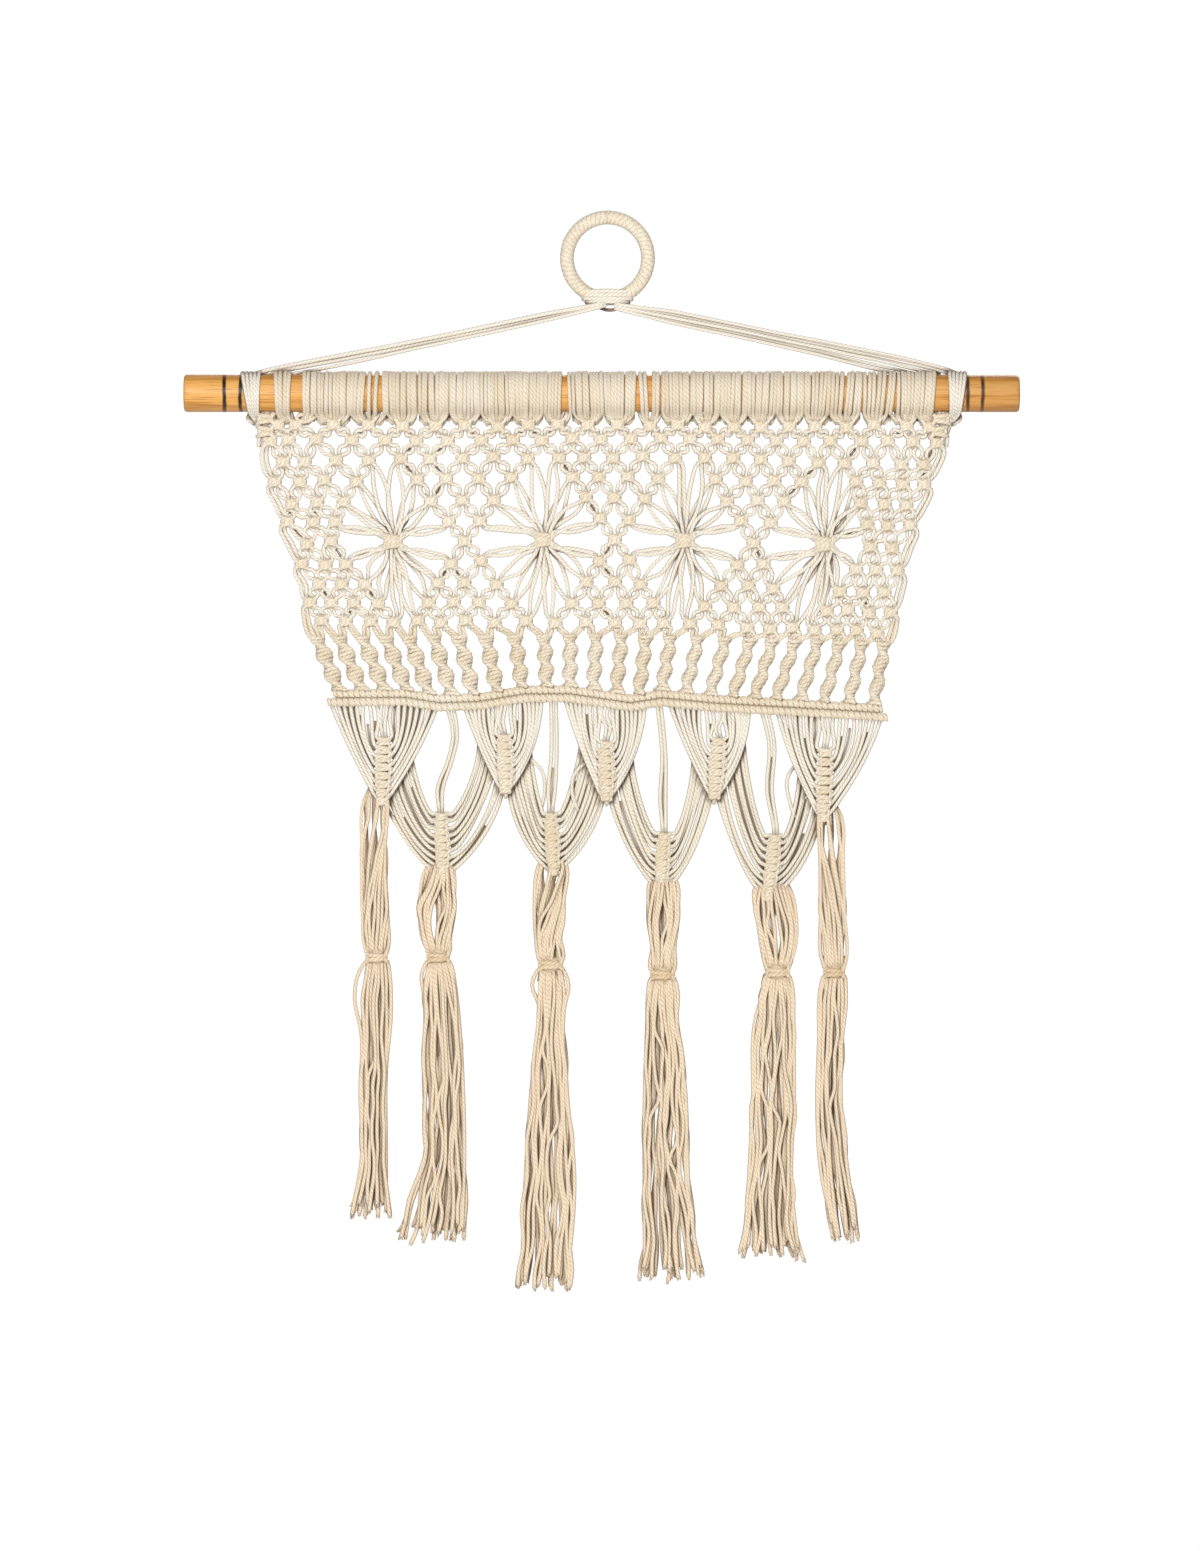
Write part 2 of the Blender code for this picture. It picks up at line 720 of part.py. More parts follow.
def build_upper_swag(number, plan, look):
    shell = Shell()
    rings = column_rings(shell, plan["top"], plan["foot"])
    bar_under = -BAR_HEIGHT - GAP
    top_x = plan["top"][0]
    lead = []
    for t in (0.0, 0.75):
        z = lerp(bar_z(top_x) + bar_under, plan["top"][1], t)
        lead.append(shell.level_ring(top_x, 0.0, z, *FILLER, COLUMN_CORNERS))
    ports = join_column(shell, rings, lead)
    for side, edge in ((-1, plan["left"]), (1, plan["right"])):
        inner = top_x + side * 3.0
        half_width = min(0.87 * PAIR / 2, SIDE_BAND_SHARE * abs(edge - inner))
        for i in range(SIDE_BANDS):
            x = lerp(inner, edge, (i + 0.75) / SIDE_BANDS)
            port = ports[(side, i)]
            px, py, pz = middle_of(shell, port)
            z = bar_z(x) + bar_under
            start = (x, 0.0, z)
            down = (x + side * 1.0, 0.0, lerp(z, pz, 0.55))
            near = (px + side * 7.0, py, pz + 6.0)
            spots = [bezier(t, start, down, near, (px, py, pz)) for t in BAND_STEPS]
            side_band(shell, spots, half_width, BAND_HALF_DEPTH, port)
    return shell.finish(f"upper_swag_{number}", look, smooth=False)


def build_lower_swag(number, plan, look):
    shell = Shell()
    rings = column_rings(shell, plan["top"], plan["foot"])
    at_bar = plan["thread"]
    thread = [(at_bar, bar_z(at_bar) - BAR_HEIGHT - GAP), *plan["below"]]
    lead = [
        shell.level_ring(x, 0.0, z, *FILLER, COLUMN_CORNERS) for x, z in thread
    ]
    ports = join_column(shell, rings, lead)
    for side, upper in ((-1, UPPER_SWAGS[number - 1]), (1, UPPER_SWAGS[number])):
        for i in range(SIDE_BANDS):
            port = ports[(side, i)]
            px, py, pz = middle_of(shell, port)
            share = (i + 0.6) / SIDE_BANDS
            aside = ASIDE + (SIDE_BANDS - 1 - i) * ASIDE_STEP
            x = lerp(upper["top"][0], upper["foot"][0], share) - side * aside
            z = lerp(upper["top"][1], upper["foot"][1], share) - 2.0
            start = (x, BEHIND, z)
            down = (lerp(x, px, 0.34), BEHIND + 0.3, lerp(z, pz, 0.42))
            near = (lerp(x, px, 0.72), 1.0, lerp(z, pz, 0.85))
            spots = [bezier(t, start, down, near, (px, py, pz)) for t in BAND_STEPS]
            side_band(shell, spots, 0.73 * PAIR / 2, BAND_HALF_DEPTH, port)
    return shell.finish(f"lower_swag_{number}", look, smooth=False)


def strand(shell, spots, half):
    """A three-sided strand through spots (x, y, z), closed at both ends."""
    rings = [
        shell.level_ring(x, y, z, half, half, (90, 210, 330)) for x, y, z in spots
    ]
    for first, second in zip(rings, rings[1:]):
        shell.bridge(first, second)
    shell.cap(rings[0])
    shell.cap(rings[-1])


def build_tassel(number, plan, look):
    chance = random.Random(SEED + number)
    drops = plan["drops"]
    rising = [-drop for drop in drops]

    def spot(z, share_x, y):
        x = between(-z, rising, plan["along"])
        half = between(-z, rising, plan["half"])
        return (x + share_x * (half - STRAND_HALF), y, z)

    knot_z = plan["knot"]
    layers = plan["layers"]
    half_x = between(-knot_z, rising, plan["half"]) + KNOT_MARGIN
    half_y = layers * LAYER_PITCH / 2 + KNOT_MARGIN / 2
    knot = Shell()
    rings = []
    for i in range(TASSEL_KNOT_STEPS + 1):
        z = knot_z + TASSEL_KNOT_HEIGHT * (0.5 - i / TASSEL_KNOT_STEPS)
        swell = 1.0 if i % 2 else TASSEL_KNOT_HOLLOW
        rings.append(
            knot.level_ring(
                between(-z, rising, plan["along"]), 0.0, z,
                half_x * swell, half_y * swell, range(0, 360, 45), turn=22.5,
            )
        )
    for first, second in zip(rings, rings[1:]):
        knot.bridge(first, second)
    knot.cap(rings[0])
    knot.cap(rings[-1])
    body = knot.finish(f"tassel_{number}", look)

    strands = Shell()
    columns = plan["columns"]
    for layer in range(layers):
        for column in range(columns):
            share = 2 * column / (columns - 1) - 1
            share += STAGGER / columns * (1 if layer % 2 else -1)
            depth = (layer - (layers - 1) / 2) * LAYER_PITCH
            end_z = drops[-1] + RAGGED * chance.uniform(-0.2, 1.0)
            wander = WANDER / columns
            spots = [spot(knot_z - ROOT_GAP, share * IN_KNOT, depth)]
            for t in STRAND_STEPS:
                z = lerp(knot_z, end_z, t)
                moved = share + chance.uniform(-wander, wander)
                spots.append(spot(z, moved, depth * lerp(0.95, 1.2, t)))
            strand(strands, spots, STRAND_HALF)
    lock_columns = columns - 1
    kind, index = plan["from"]
    foot = (UPPER_SWAGS if kind == "upper" else LOWER_SWAGS)[index]["foot"]
    back = COLUMN_WIDE[1] + GAP + LOCK_HALF
    for layer in range(2):
        for column in range(lock_columns):
            share = 2 * column / (lock_columns - 1) - 1
            depth = (layer - 0.5) * LOCK_PITCH
            spots = [spot(knot_z + ROOT_GAP, share * IN_KNOT, depth)]
            for t in LOCK_STEPS:
                z = lerp(knot_z, foot[1], t)
                spots.append(spot(z, share, depth + back * 0.3 * t))
            behind = back + depth + LOCK_PITCH / 2
            spots.append(spot(foot[1] - LOCK_RISE, share, behind))
            top_z = foot[1] + LOCK_RISE * (1 + 1.5 * (column % 2))
            spots.append(spot(top_z, share * 0.95, behind))
            strand(strands, spots, LOCK_HALF)
    fuse(body, strands.finish(f"tassel_{number}_strands", look))
    return body


def main():
    clear_scene()
    cream = material("cream_cotton_cord", COTTON_CREAM, 0.9)
    beige = material("beige_cotton_cord", COTTON_BEIGE, 0.9)
    wood = material("tan_wood", WOOD_TAN, 0.5)
    build_dowel(wood)
    build_ring(cream)
    build_sleeves(cream)
    for plan in HANGERS:
        hanger = build_hanger(plan, cream)
        if plan["name"] == "hanger_left":
            build_larks_head(hanger, cream)
    build_net(cream)
    build_bar(cream)
    for number, plan in enumerate(UPPER_SWAGS, 1):
        build_upper_swag(number, plan, cream)
    for number, plan in enumerate(LOWER_SWAGS, 1):
        build_lower_swag(number, plan, beige)
    for number, plan in enumerate(TASSELS, 1):
        build_tassel(number, plan, beige)


main()
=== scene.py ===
import math
import random

import bpy
import numpy as np
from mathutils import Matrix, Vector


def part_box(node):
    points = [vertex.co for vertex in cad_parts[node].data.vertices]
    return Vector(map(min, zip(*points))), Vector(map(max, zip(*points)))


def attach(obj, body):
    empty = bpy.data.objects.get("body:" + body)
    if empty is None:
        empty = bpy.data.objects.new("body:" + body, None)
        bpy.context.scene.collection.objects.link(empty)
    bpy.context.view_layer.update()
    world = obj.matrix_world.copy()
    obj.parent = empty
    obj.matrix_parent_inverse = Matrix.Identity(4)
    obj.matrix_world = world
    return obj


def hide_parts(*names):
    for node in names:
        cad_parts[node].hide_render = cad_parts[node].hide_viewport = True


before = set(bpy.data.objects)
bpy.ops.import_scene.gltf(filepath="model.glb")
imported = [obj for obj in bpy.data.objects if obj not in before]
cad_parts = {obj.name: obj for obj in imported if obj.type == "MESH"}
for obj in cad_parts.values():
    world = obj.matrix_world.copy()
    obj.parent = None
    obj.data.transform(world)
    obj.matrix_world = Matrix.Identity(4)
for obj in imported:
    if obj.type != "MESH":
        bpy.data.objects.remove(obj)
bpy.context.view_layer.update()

mm = 0.001  # everything below is in millimetres until a mesh is made
dice = random.Random(12)
print("frame loaded with", len(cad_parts), "nodes")


# small helpers: shares and random steps


def mix(a, b, t):
    return a + (b - a) * t


def along(at, spots, values):  # value at a place in a list of spots, straight runs between
    return float(np.interp(at, spots, values))


def shake(size):
    return dice.uniform(-size, size)


def toLinear(hexColour):  # sRGB hex to the linear colour that the shader takes
    parts = [int(hexColour[i : i + 2], 16) / 255 for i in (1, 3, 5)]
    return tuple(c / 12.92 if c <= 0.04045 else ((c + 0.055) / 1.055) ** 2.4 for c in parts) + (1.0,)


def bezier(t, a, b, c, d):
    s = 1 - t
    w = (s * s * s, 3 * s * s * t, 3 * s * t * t, t * t * t)
    return tuple(sum(k * p[i] for k, p in zip(w, (a, b, c, d))) for i in range(3))


# cords: each is a tube swept along a smooth path, with its length and its turn kept as a map

cordStyle = {
    "radius": 1.2,  # 2.4 mm twisted cotton
    "knotted": 1.45,  # spread flat inside a knot, so that it looks thicker from the front
    "knottedFade": 0.06,  # a radius that much smaller counts as free
    "sides": 6,
    "turnPerRing": 24.0,  # degrees of bend between two rings
    "longestRing": 5.0,
    "closest": 0.03,  # points nearer to each other than this are one
}
# painted shade in the crevices: how far a cord lies behind its surroundings sets how dark its colour is
# painted
shadeValues = {
    "cell": 0.4,
    "reach": 4,  # cells to each side that count as a spot's surroundings
    "margin": 12,
    "from": 0.35,  # how far behind its surroundings the painted shade begins
    "full": 2.0,
    "tight": 0.24,  # share of the painted shade that is left where cords are pressed into one lump
}


def smoothPath(p):  # rings of a smooth curve through the points, and where each ring lies among them
    length = np.linalg.norm(np.diff(p, axis=0), axis=1)
    heading = np.diff(p, axis=0) / length[:, None]
    tangent = np.empty_like(p)
    tangent[0], tangent[-1] = heading[0], heading[-1]
    if len(p) > 2:
        a, b = length[:-1, None], length[1:, None]
        tangent[1:-1] = (heading[:-1] * b + heading[1:] * a) / (a + b)
        tangent[0] = 1.5 * heading[0] - 0.5 * tangent[1]
        tangent[-1] = 1.5 * heading[-1] - 0.5 * tangent[-2]
    unit = tangent / np.linalg.norm(tangent, axis=1)[:, None]
    bend = np.arccos(np.clip((unit[:-1] * heading).sum(1), -1, 1))
    bend += np.arccos(np.clip((unit[1:] * heading).sum(1), -1, 1))
    out, where = [], []
    for i, span in enumerate(length):
        turns = math.degrees(bend[i]) / cordStyle["turnPerRing"]
        count = max(1, math.ceil(turns), math.ceil(span / cordStyle["longestRing"]))
        s = (np.arange(count) / count)[:, None]
        s2, s3 = s * s, s * s * s
        out.append(
            (2 * s3 - 3 * s2 + 1) * p[i] + (s3 - 2 * s2 + s) * span * tangent[i]
            + (3 * s2 - 2 * s3) * p[i + 1] + (s3 - s2) * span * tangent[i + 1]
        )
        where.append(i + s[:, 0])
    return np.vstack(out + [p[-1:]]), np.concatenate(where + [[len(p) - 1]])


def acrossPath(forward):  # a direction across each ring that never spins round the path
    f = forward.tolist()
    x, y, z = f[0]
    side = (y, -x, 0.0) if abs(z) < 0.9 else (1.0, 0.0, 0.0)
    out = []
    for fx, fy, fz in f:
        lengthwise = side[0] * fx + side[1] * fy + side[2] * fz
        sx, sy, sz = side[0] - lengthwise * fx, side[1] - lengthwise * fy, side[2] - lengthwise * fz
        size = math.sqrt(sx * sx + sy * sy + sz * sz) or 1.0
        side = (sx / size, sy / size, sz / size)
        out.append(side)
    return np.array(out)


def newBasket(dense=False):
    # gathers the cords of one piece; dense: each is pressed against others, as in a wrapping
    lists = {name: [] for name in ("points", "faces", "map", "pressed", "facing", "spine")}
    return {**lists, "dense": dense, "count": 0, "taken": 0.0}


def sized(points, radius):  # the same points, each with its radius as a fourth number
    return [(*point[:3], radius) for point in points]


def layCord(basket, points, radius=None, sides=None):
    # radius is one number or a list along the cord, and left out where the points hold it
    p = np.array(points, float)
    p = p[np.r_[True, np.linalg.norm(np.diff(p[:, :3], axis=0), axis=1) > cordStyle["closest"]]]
    path, where = smoothPath(p[:, :3])
    sides = sides or cordStyle["sides"]
    count = len(path)
    steps = np.r_[0, np.cumsum(np.linalg.norm(np.diff(path, axis=0), axis=1))]
    if p.shape[1] == 4:
        size = np.interp(where, range(len(p)), p[:, 3])
    elif isinstance(radius, (tuple, list)):
        size = np.interp(steps / steps[-1], np.linspace(0, 1, len(radius)), radius)
    else:
        size = np.full(count, float(radius or cordStyle["radius"]))
    forward = np.gradient(path, axis=0)
    forward /= np.linalg.norm(forward, axis=1)[:, None]
    side = acrossPath(forward)
    other = np.cross(forward, side)
    turn = 2 * np.pi * np.arange(sides) / sides
    ring = (
        path[:, None, :]
        + size[:, None, None] * np.cos(turn)[None, :, None] * side[:, None, :]
        + size[:, None, None] * np.sin(turn)[None, :, None] * other[:, None, :]
    )
    base = basket["count"]
    i, k = np.meshgrid(np.arange(count - 1), np.arange(sides), indexing="ij")
    after = (k + 1) % sides
    here, onward = i * sides, (i + 1) * sides
    quads = np.stack([here + k, here + after, onward + after, onward + k], -1)
    start = basket["taken"]
    lay = start + steps
    u = np.stack([lay[i], lay[i], lay[i + 1], lay[i + 1]], -1)
    v = np.stack([k, k + 1, k + 1, k], -1) / sides
    quads, u, v = quads.reshape(-1, 4), u.reshape(-1, 4), v.reshape(-1, 4)
    caps = [[0, j + 1, j + 2, j + 3] for j in range(0, sides - 2, 2)]
    last = (count - 1) * sides
    ends = [q[::-1] for q in caps] + [[last + c for c in q] for q in caps]
    basket["points"].append(ring.reshape(-1, 3))
    pressed = np.clip((size - cordStyle["knotted"]) / cordStyle["knottedFade"] + 1, 0, 1)
    basket["pressed"].append(np.repeat(np.ones(count) if basket["dense"] else pressed, sides))
    facing = np.cos(turn)[None, :] * side[:, None, 1] + np.sin(turn)[None, :] * other[:, None, 1]
    basket["facing"].append(facing.ravel())
    fine = np.linspace(0, steps[-1], 2 + int(steps[-1] / shadeValues["cell"]))
    basket["spine"].append(np.column_stack([np.interp(fine, steps, c) for c in (*path.T, size)]))
    basket["faces"].append(np.vstack([quads, np.array(ends)]) + base)
    capMap = np.tile(np.array([[0, 0], [0, 0.1], [0.1, 0.1], [0.1, 0]]), (len(ends), 1, 1))
    capMap[..., 0] += start
    basket["map"].append(np.vstack([np.stack([u, v], -1), capMap]))
    basket["count"] = base + count * sides
    basket["taken"] = start + steps[-1] + dice.uniform(7, 60)  # so that no two cords match


def layMesh(basket, points, quads):  # other closed forms that share a piece with cords
    points, quads = np.array(points, float), np.array(quads)
    basket["points"].append(points)
    basket["faces"].append(quads + basket["count"])
    flat = points[quads][..., [0, 2]]
    basket["map"].append(flat * (1, 0.1))
    basket["pressed"].append(np.ones(len(points)))
    basket["count"] += len(points)


pieceTriangles = {}
shaded = []  # cord pieces that get painted shade in their crevices at the end


def setPointValues(mesh, name, values):
    mesh.attributes.new(name, "FLOAT", "POINT").data.foreach_set("value", values.astype(np.float32))


def makePiece(name, basket, look, nodes):
    points = np.vstack(basket["points"]) * mm
    faces = np.vstack(basket["faces"])
    mesh = bpy.data.meshes.new(name)
    mesh.from_pydata(points.tolist(), [], faces.tolist())
    cordMap = mesh.uv_layers.new(name="cordLay")
    cordMap.uv.foreach_set("vector", np.vstack(basket["map"]).astype(np.float32).ravel())
    mesh.shade_smooth()
    mesh.materials.append(look)
    pressed = np.concatenate(basket["pressed"])
    setPointValues(mesh, "pressed", pressed)
    if basket["spine"]:
        facing, spine = np.concatenate(basket["facing"]), np.vstack(basket["spine"])
        shaded.append((mesh, points / mm, facing, pressed, spine))
    piece = bpy.data.objects.new(name, mesh)
    bpy.context.scene.collection.objects.link(piece)
    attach(piece, "root")
    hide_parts(*nodes)
    pieceTriangles[name] = len(faces) * 2
    return piece


def meanAround(grid, reach):  # mean over a square window, twice, so that it has no hard edge
    for axis in (0, 1, 0, 1):
        empty = np.zeros_like(np.take(grid, [0], axis))
        sums = np.concatenate([empty, np.cumsum(grid, axis=axis)], axis=axis)
        cells = np.arange(grid.shape[axis])
        high, low = np.minimum(cells + reach + 1, len(cells)), np.maximum(cells - reach, 0)
        grid = (np.take(sums, high, axis) - np.take(sums, low, axis)) / (2 * reach + 1)
    return grid


def shadeCrevices():
    # where a cord lies behind its surroundings, seen from the front and from the back,
    # its cotton gets painted shade: a darkening stored on each point, standing for the shade that falls there
    v = shadeValues
    nothing = 99.0
    spine = np.vstack([entry[4] for entry in shaded])
    corner = spine[:, [0, 2]].min(axis=0) - v["margin"]
    shape = tuple(np.ceil((spine[:, [0, 2]].max(axis=0) + v["margin"] - corner) / v["cell"]).astype(int))
    spot = np.round((spine[:, [0, 2]] - corner) / v["cell"]).astype(int)
    surfaces = [np.full(shape, nothing), np.full(shape, nothing)]  # front, then back with its sign turned
    most = int(spine[:, 3].max() / v["cell"])
    for i in range(-most, most + 1):
        for k in range(-most, most + 1):
            room = spine[:, 3] ** 2 - (i * i + k * k) * v["cell"] ** 2
            pick = room > 0
            if pick.any():
                at = (spot[pick, 0] + i, spot[pick, 1] + k)
                rise = np.sqrt(room[pick])
                np.minimum.at(surfaces[0], at, spine[pick, 1] - rise)
                np.minimum.at(surfaces[1], at, -spine[pick, 1] - rise)
    means = []
    for surface in surfaces:
        there = surface < nothing
        share = meanAround(there.astype(float), v["reach"])
        means.append(meanAround(np.where(there, surface, 0.0), v["reach"]) / np.maximum(share, 1e-6))
    for mesh, points, facing, pressed, _ in shaded:
        at = np.clip(np.round((points[:, [0, 2]] - corner) / v["cell"]).astype(int), 0, np.array(shape) - 1)
        front = np.clip(0.5 - 1.5 * facing, 0, 1)
        behind = points[:, 1] - means[0][at[:, 0], at[:, 1]]
        before = -points[:, 1] - means[1][at[:, 0], at[:, 1]]
        depth = front * behind + (1 - front) * before
        dark = np.clip((depth - v["from"]) / (v["full"] - v["from"]), 0, 1)
        setPointValues(mesh, "crevice", dark * mix(1, v["tight"], pressed))


# materials


def addNode(tree, kind, settings=None, links=None):
    # settings with small names are the node's own, the rest are its sockets' values
    node = tree.nodes.new(kind)
    for name, value in (settings or {}).items():
        if name == "stops":  # place and colour of each stop of a colour ramp
            elements = node.color_ramp.elements
            for _ in value[len(elements) :]:
                elements.new(0.5)
            for element, (place, colour) in zip(elements, value):
                element.position, element.color = place, colour
        elif isinstance(name, str) and name[0].islower():
            setattr(node, name, value)
        else:
            node.inputs[name].default_value = value
    for name, source in (links or {}).items():
        tree.links.new(source, node.inputs[name])
    return node


def newLook(name, values):  # a material with its tree and its shader, which takes the values given
    look = bpy.data.materials.new(name)
    look.use_nodes = True
    shader = look.node_tree.nodes["Principled BSDF"]
    for socket, value in values.items():
        shader.inputs[socket].default_value = value
    return look, look.node_tree, shader


white, black = (1, 1, 1, 1), (0, 0, 0, 1)
cottonValues = {
    "pliesRound": 3,
    "layLength": 8.4,  # of cord for a whole turn of one ply
    "hairAcross": 0.16,  # between fibres, drawn coarser than the real 0.02 mm so that it shows
    "hairLong": 2.0,
    "hairHeight": 0.35,  # share of a ply's height
    "plyRound": 0.6,  # below 1 the plies are full and the valleys between them narrow
    "valleyWidth": 0.62,
    "valley": 0.72,  # how far the painted shade in a valley between plies goes to its deep colour
    "bump": 0.75,
    "bumpHeight": 0.25,
    "patches": 26.0,  # a metre: slow changes of tone over the piece
    "cordTone": 0.02,  # and from one length of cord to the next
    "toneFrom": 0.36,
    "toneTo": 0.64,
    # painted shade: the dark brown that cotton lying behind its surroundings goes towards
    "paintedShadeBrown": "#5C3911",
    "shader": {
        "Roughness": 0.88,
        "IOR": 1.5,
        "Specular IOR Level": 0.25,
        "Sheen Weight": 0.08,
        "Sheen Roughness": 0.45,
    },
}


def twistedCotton(name, lit, deep, warm, loose, paintedShadeStrength):
    # twisted cotton: matt and soft-edged, slanting plies with painted shade in their valleys, a little fuzz.
    # lit and warm are the two tones of knotted cord, loose that of free cord, deep the painted shade of a
    # valley
    value = cottonValues
    look, tree, shader = newLook(name, value["shader"])
    where = addNode(tree, "ShaderNodeUVMap", {"uv_map": "cordLay"})
    parts = addNode(tree, "ShaderNodeSeparateXYZ", links={"Vector": where.outputs["UV"]})
    length, around = parts.outputs["X"], parts.outputs["Y"]
    lay = {"operation": "MULTIPLY", 1: 1.0 / value["layLength"]}
    turns = addNode(tree, "ShaderNodeMath", lay, {0: length})
    turned = addNode(tree, "ShaderNodeMath", {"operation": "ADD"}, {0: around, 1: turns.outputs[0]})
    plies = {"operation": "MULTIPLY", 1: math.pi * value["pliesRound"]}
    phase = addNode(tree, "ShaderNodeMath", plies, {0: turned.outputs[0]})
    wave = addNode(tree, "ShaderNodeMath", {"operation": "SINE"}, {0: phase.outputs[0]})
    ply = addNode(tree, "ShaderNodeMath", {"operation": "ABSOLUTE"}, {0: wave.outputs[0]})
    fuller = {"operation": "POWER", 1: value["plyRound"]}
    rounded = addNode(tree, "ShaderNodeMath", fuller, {0: ply.outputs[0]})
    onCord = addNode(tree, "ShaderNodeCombineXYZ", {}, {"X": length, "Y": turned.outputs[0]})
    stretch = (1.0 / value["hairLong"], 2 * cordStyle["radius"] / value["hairAcross"], 1)
    drawn = {"operation": "MULTIPLY", 1: stretch}
    stretched = addNode(tree, "ShaderNodeVectorMath", drawn, {0: onCord.outputs[0]})
    hair = {"Scale": 1.0, "Detail": 2.0, "Roughness": 0.6}
    fibre = addNode(tree, "ShaderNodeTexNoise", hair, {"Vector": stretched.outputs[0]})
    place = addNode(tree, "ShaderNodeTexCoord")
    patches = {"Scale": value["patches"], "Detail": 3.0, "Roughness": 0.55}
    blotch = addNode(tree, "ShaderNodeTexNoise", patches, {"Vector": place.outputs["Object"]})
    slow = {"Scale": value["cordTone"], "Detail": 1.0}
    cordTone = addNode(tree, "ShaderNodeTexNoise", slow, {"Vector": onCord.outputs[0]})
    tones = {0: blotch.outputs["Fac"], 1: cordTone.outputs["Fac"]}
    both = addNode(tree, "ShaderNodeMath", {"operation": "ADD"}, tones)
    tone = addNode(tree, "ShaderNodeMath", {"operation": "MULTIPLY", 1: 0.5}, {0: both.outputs[0]})
    tones = {"stops": ((value["toneFrom"], toLinear(lit)), (value["toneTo"], toLinear(warm)))}
    cloth = addNode(tree, "ShaderNodeValToRGB", tones, {"Fac": tone.outputs[0]})
    # painted shade in the valleys between the plies
    narrow = {"stops": ((0.0, white), (value["valleyWidth"], black))}
    valley = addNode(tree, "ShaderNodeValToRGB", narrow, {"Fac": rounded.outputs[0]})
    valleyShadeStrength = {"operation": "MULTIPLY", 1: value["valley"]}
    amount = addNode(tree, "ShaderNodeMath", valleyShadeStrength, {0: valley.outputs["Color"]})
    # pressed cord, in knots and wrappings, takes the darker, warmer knotted tones as painted shade; free cord
    # takes the paler loose tone
    pressed = addNode(tree, "ShaderNodeAttribute", {"attribute_name": "pressed"})
    tight = {0: pressed.outputs["Fac"], 7: cloth.outputs["Color"]}
    body = addNode(tree, "ShaderNodeMix", {"data_type": "RGBA", 6: toLinear(loose)}, tight)
    laid = {0: amount.outputs[0], 6: body.outputs[2]}
    valleyShaded = addNode(tree, "ShaderNodeMix", {"data_type": "RGBA", 7: toLinear(deep)}, laid)
    # painted shade in the crevices, mixed into the cloth's colour
    crevice = addNode(tree, "ShaderNodeAttribute", {"attribute_name": "crevice"})
    shade = addNode(tree, "ShaderNodeMath", {"operation": "MULTIPLY", 1: paintedShadeStrength}, {0: crevice.outputs["Fac"]})
    dark = {"data_type": "RGBA", 7: toLinear(value["paintedShadeBrown"])}
    inShade = addNode(tree, "ShaderNodeMix", dark, {0: shade.outputs[0], 6: valleyShaded.outputs[2]})
    tree.links.new(inShade.outputs[2], shader.inputs["Base Color"])
    low = {"operation": "MULTIPLY", 1: value["hairHeight"]}
    fuzz = addNode(tree, "ShaderNodeMath", low, {0: fibre.outputs["Fac"]})
    heights = {0: rounded.outputs[0], 1: fuzz.outputs[0]}
    height = addNode(tree, "ShaderNodeMath", {"operation": "ADD"}, heights)
    relief = {"Strength": value["bump"], "Distance": value["bumpHeight"] * mm}
    bump = addNode(tree, "ShaderNodeBump", relief, {"Height": height.outputs[0]})
    tree.links.new(bump.outputs["Normal"], shader.inputs["Normal"])
    return look


# the lower swags and the tassels take darker, warmer copies of the cream cotton: painted shade that grows
# towards the bottom. The second colour of each is the painted shade in the ply valleys, the last number the
# strength of the painted crevice shade
creamCord = twistedCotton("cream three-ply cotton", "#E9DFCD", "#957F5C", "#E0D1B7", "#EAE3D5", 0.85)
lowerSwagShadedCord = twistedCotton("three-ply cotton with painted shade, lower swags", "#E6DCC8", "#937C57", "#DDCDAE", "#E8E0CE", 0.8)
tasselShadedCord = twistedCotton("three-ply cotton with painted shade, tassels", "#E5D1B6", "#86653C", "#D8C19B", "#E7D4B9", 0.55)

dowelLow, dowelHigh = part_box("dowel")
dowelValues = {
    "left": round(dowelLow[0] / mm, 1),
    "right": round(dowelHigh[0] / mm, 1),
    "centre": round((dowelLow[2] + dowelHigh[2]) / 2 / mm, 1),
    "radius": 11.25,
    "sides": 56,
    "roundedEnd": 2.0,
    "burntRings": (-229.5, -219.9, 215.7, 224.7),  # middle of each scorched line
    "burntHalf": 0.95,
    "burntFade": (-0.25, 0.5),  # from its edge, where the scorching starts and ends to fade
    "burntDip": 0.06,  # how far the burning has sunk the wood
    "dipHalf": 1.5,
    "uneven": 0.03,  # by how much the radius strays along the shaft
    "bevelSteps": 5,
    "shaftSteps": 60,
    "sharpFrom": 50,  # degrees between two faces
}
woodValues = {
    "grain": (9.0, 190.0, 190.0),  # a metre along and across: streaks of 110 by 5 mm
    "pores": (60.0, 1500.0, 1500.0),  # flecks of 17 by 0.7 mm
    "tones": ((0.32, "#B0742F"), (0.46, "#E0A351"), (0.70, "#E4AE65")),
    "pore": "#8A5524",
    "poreAmount": 0.6,
    "scorched": "#180D07",
    "scorchWander": 2.0,
    "darkEndAndRimShade": "#8A5522",  # darker towards the right end, and painted shade at the dowel's upper and lower edge
    "darkerEndFrom": (0.17, 0.23),
    "darkerEndAmount": 0.3,
    "rimShadeFrom": (0.006, 0.0112),
    "rimShadeAmount": 0.42,
    "shader": {"IOR": 1.5, "Specular IOR Level": 0.4},
}


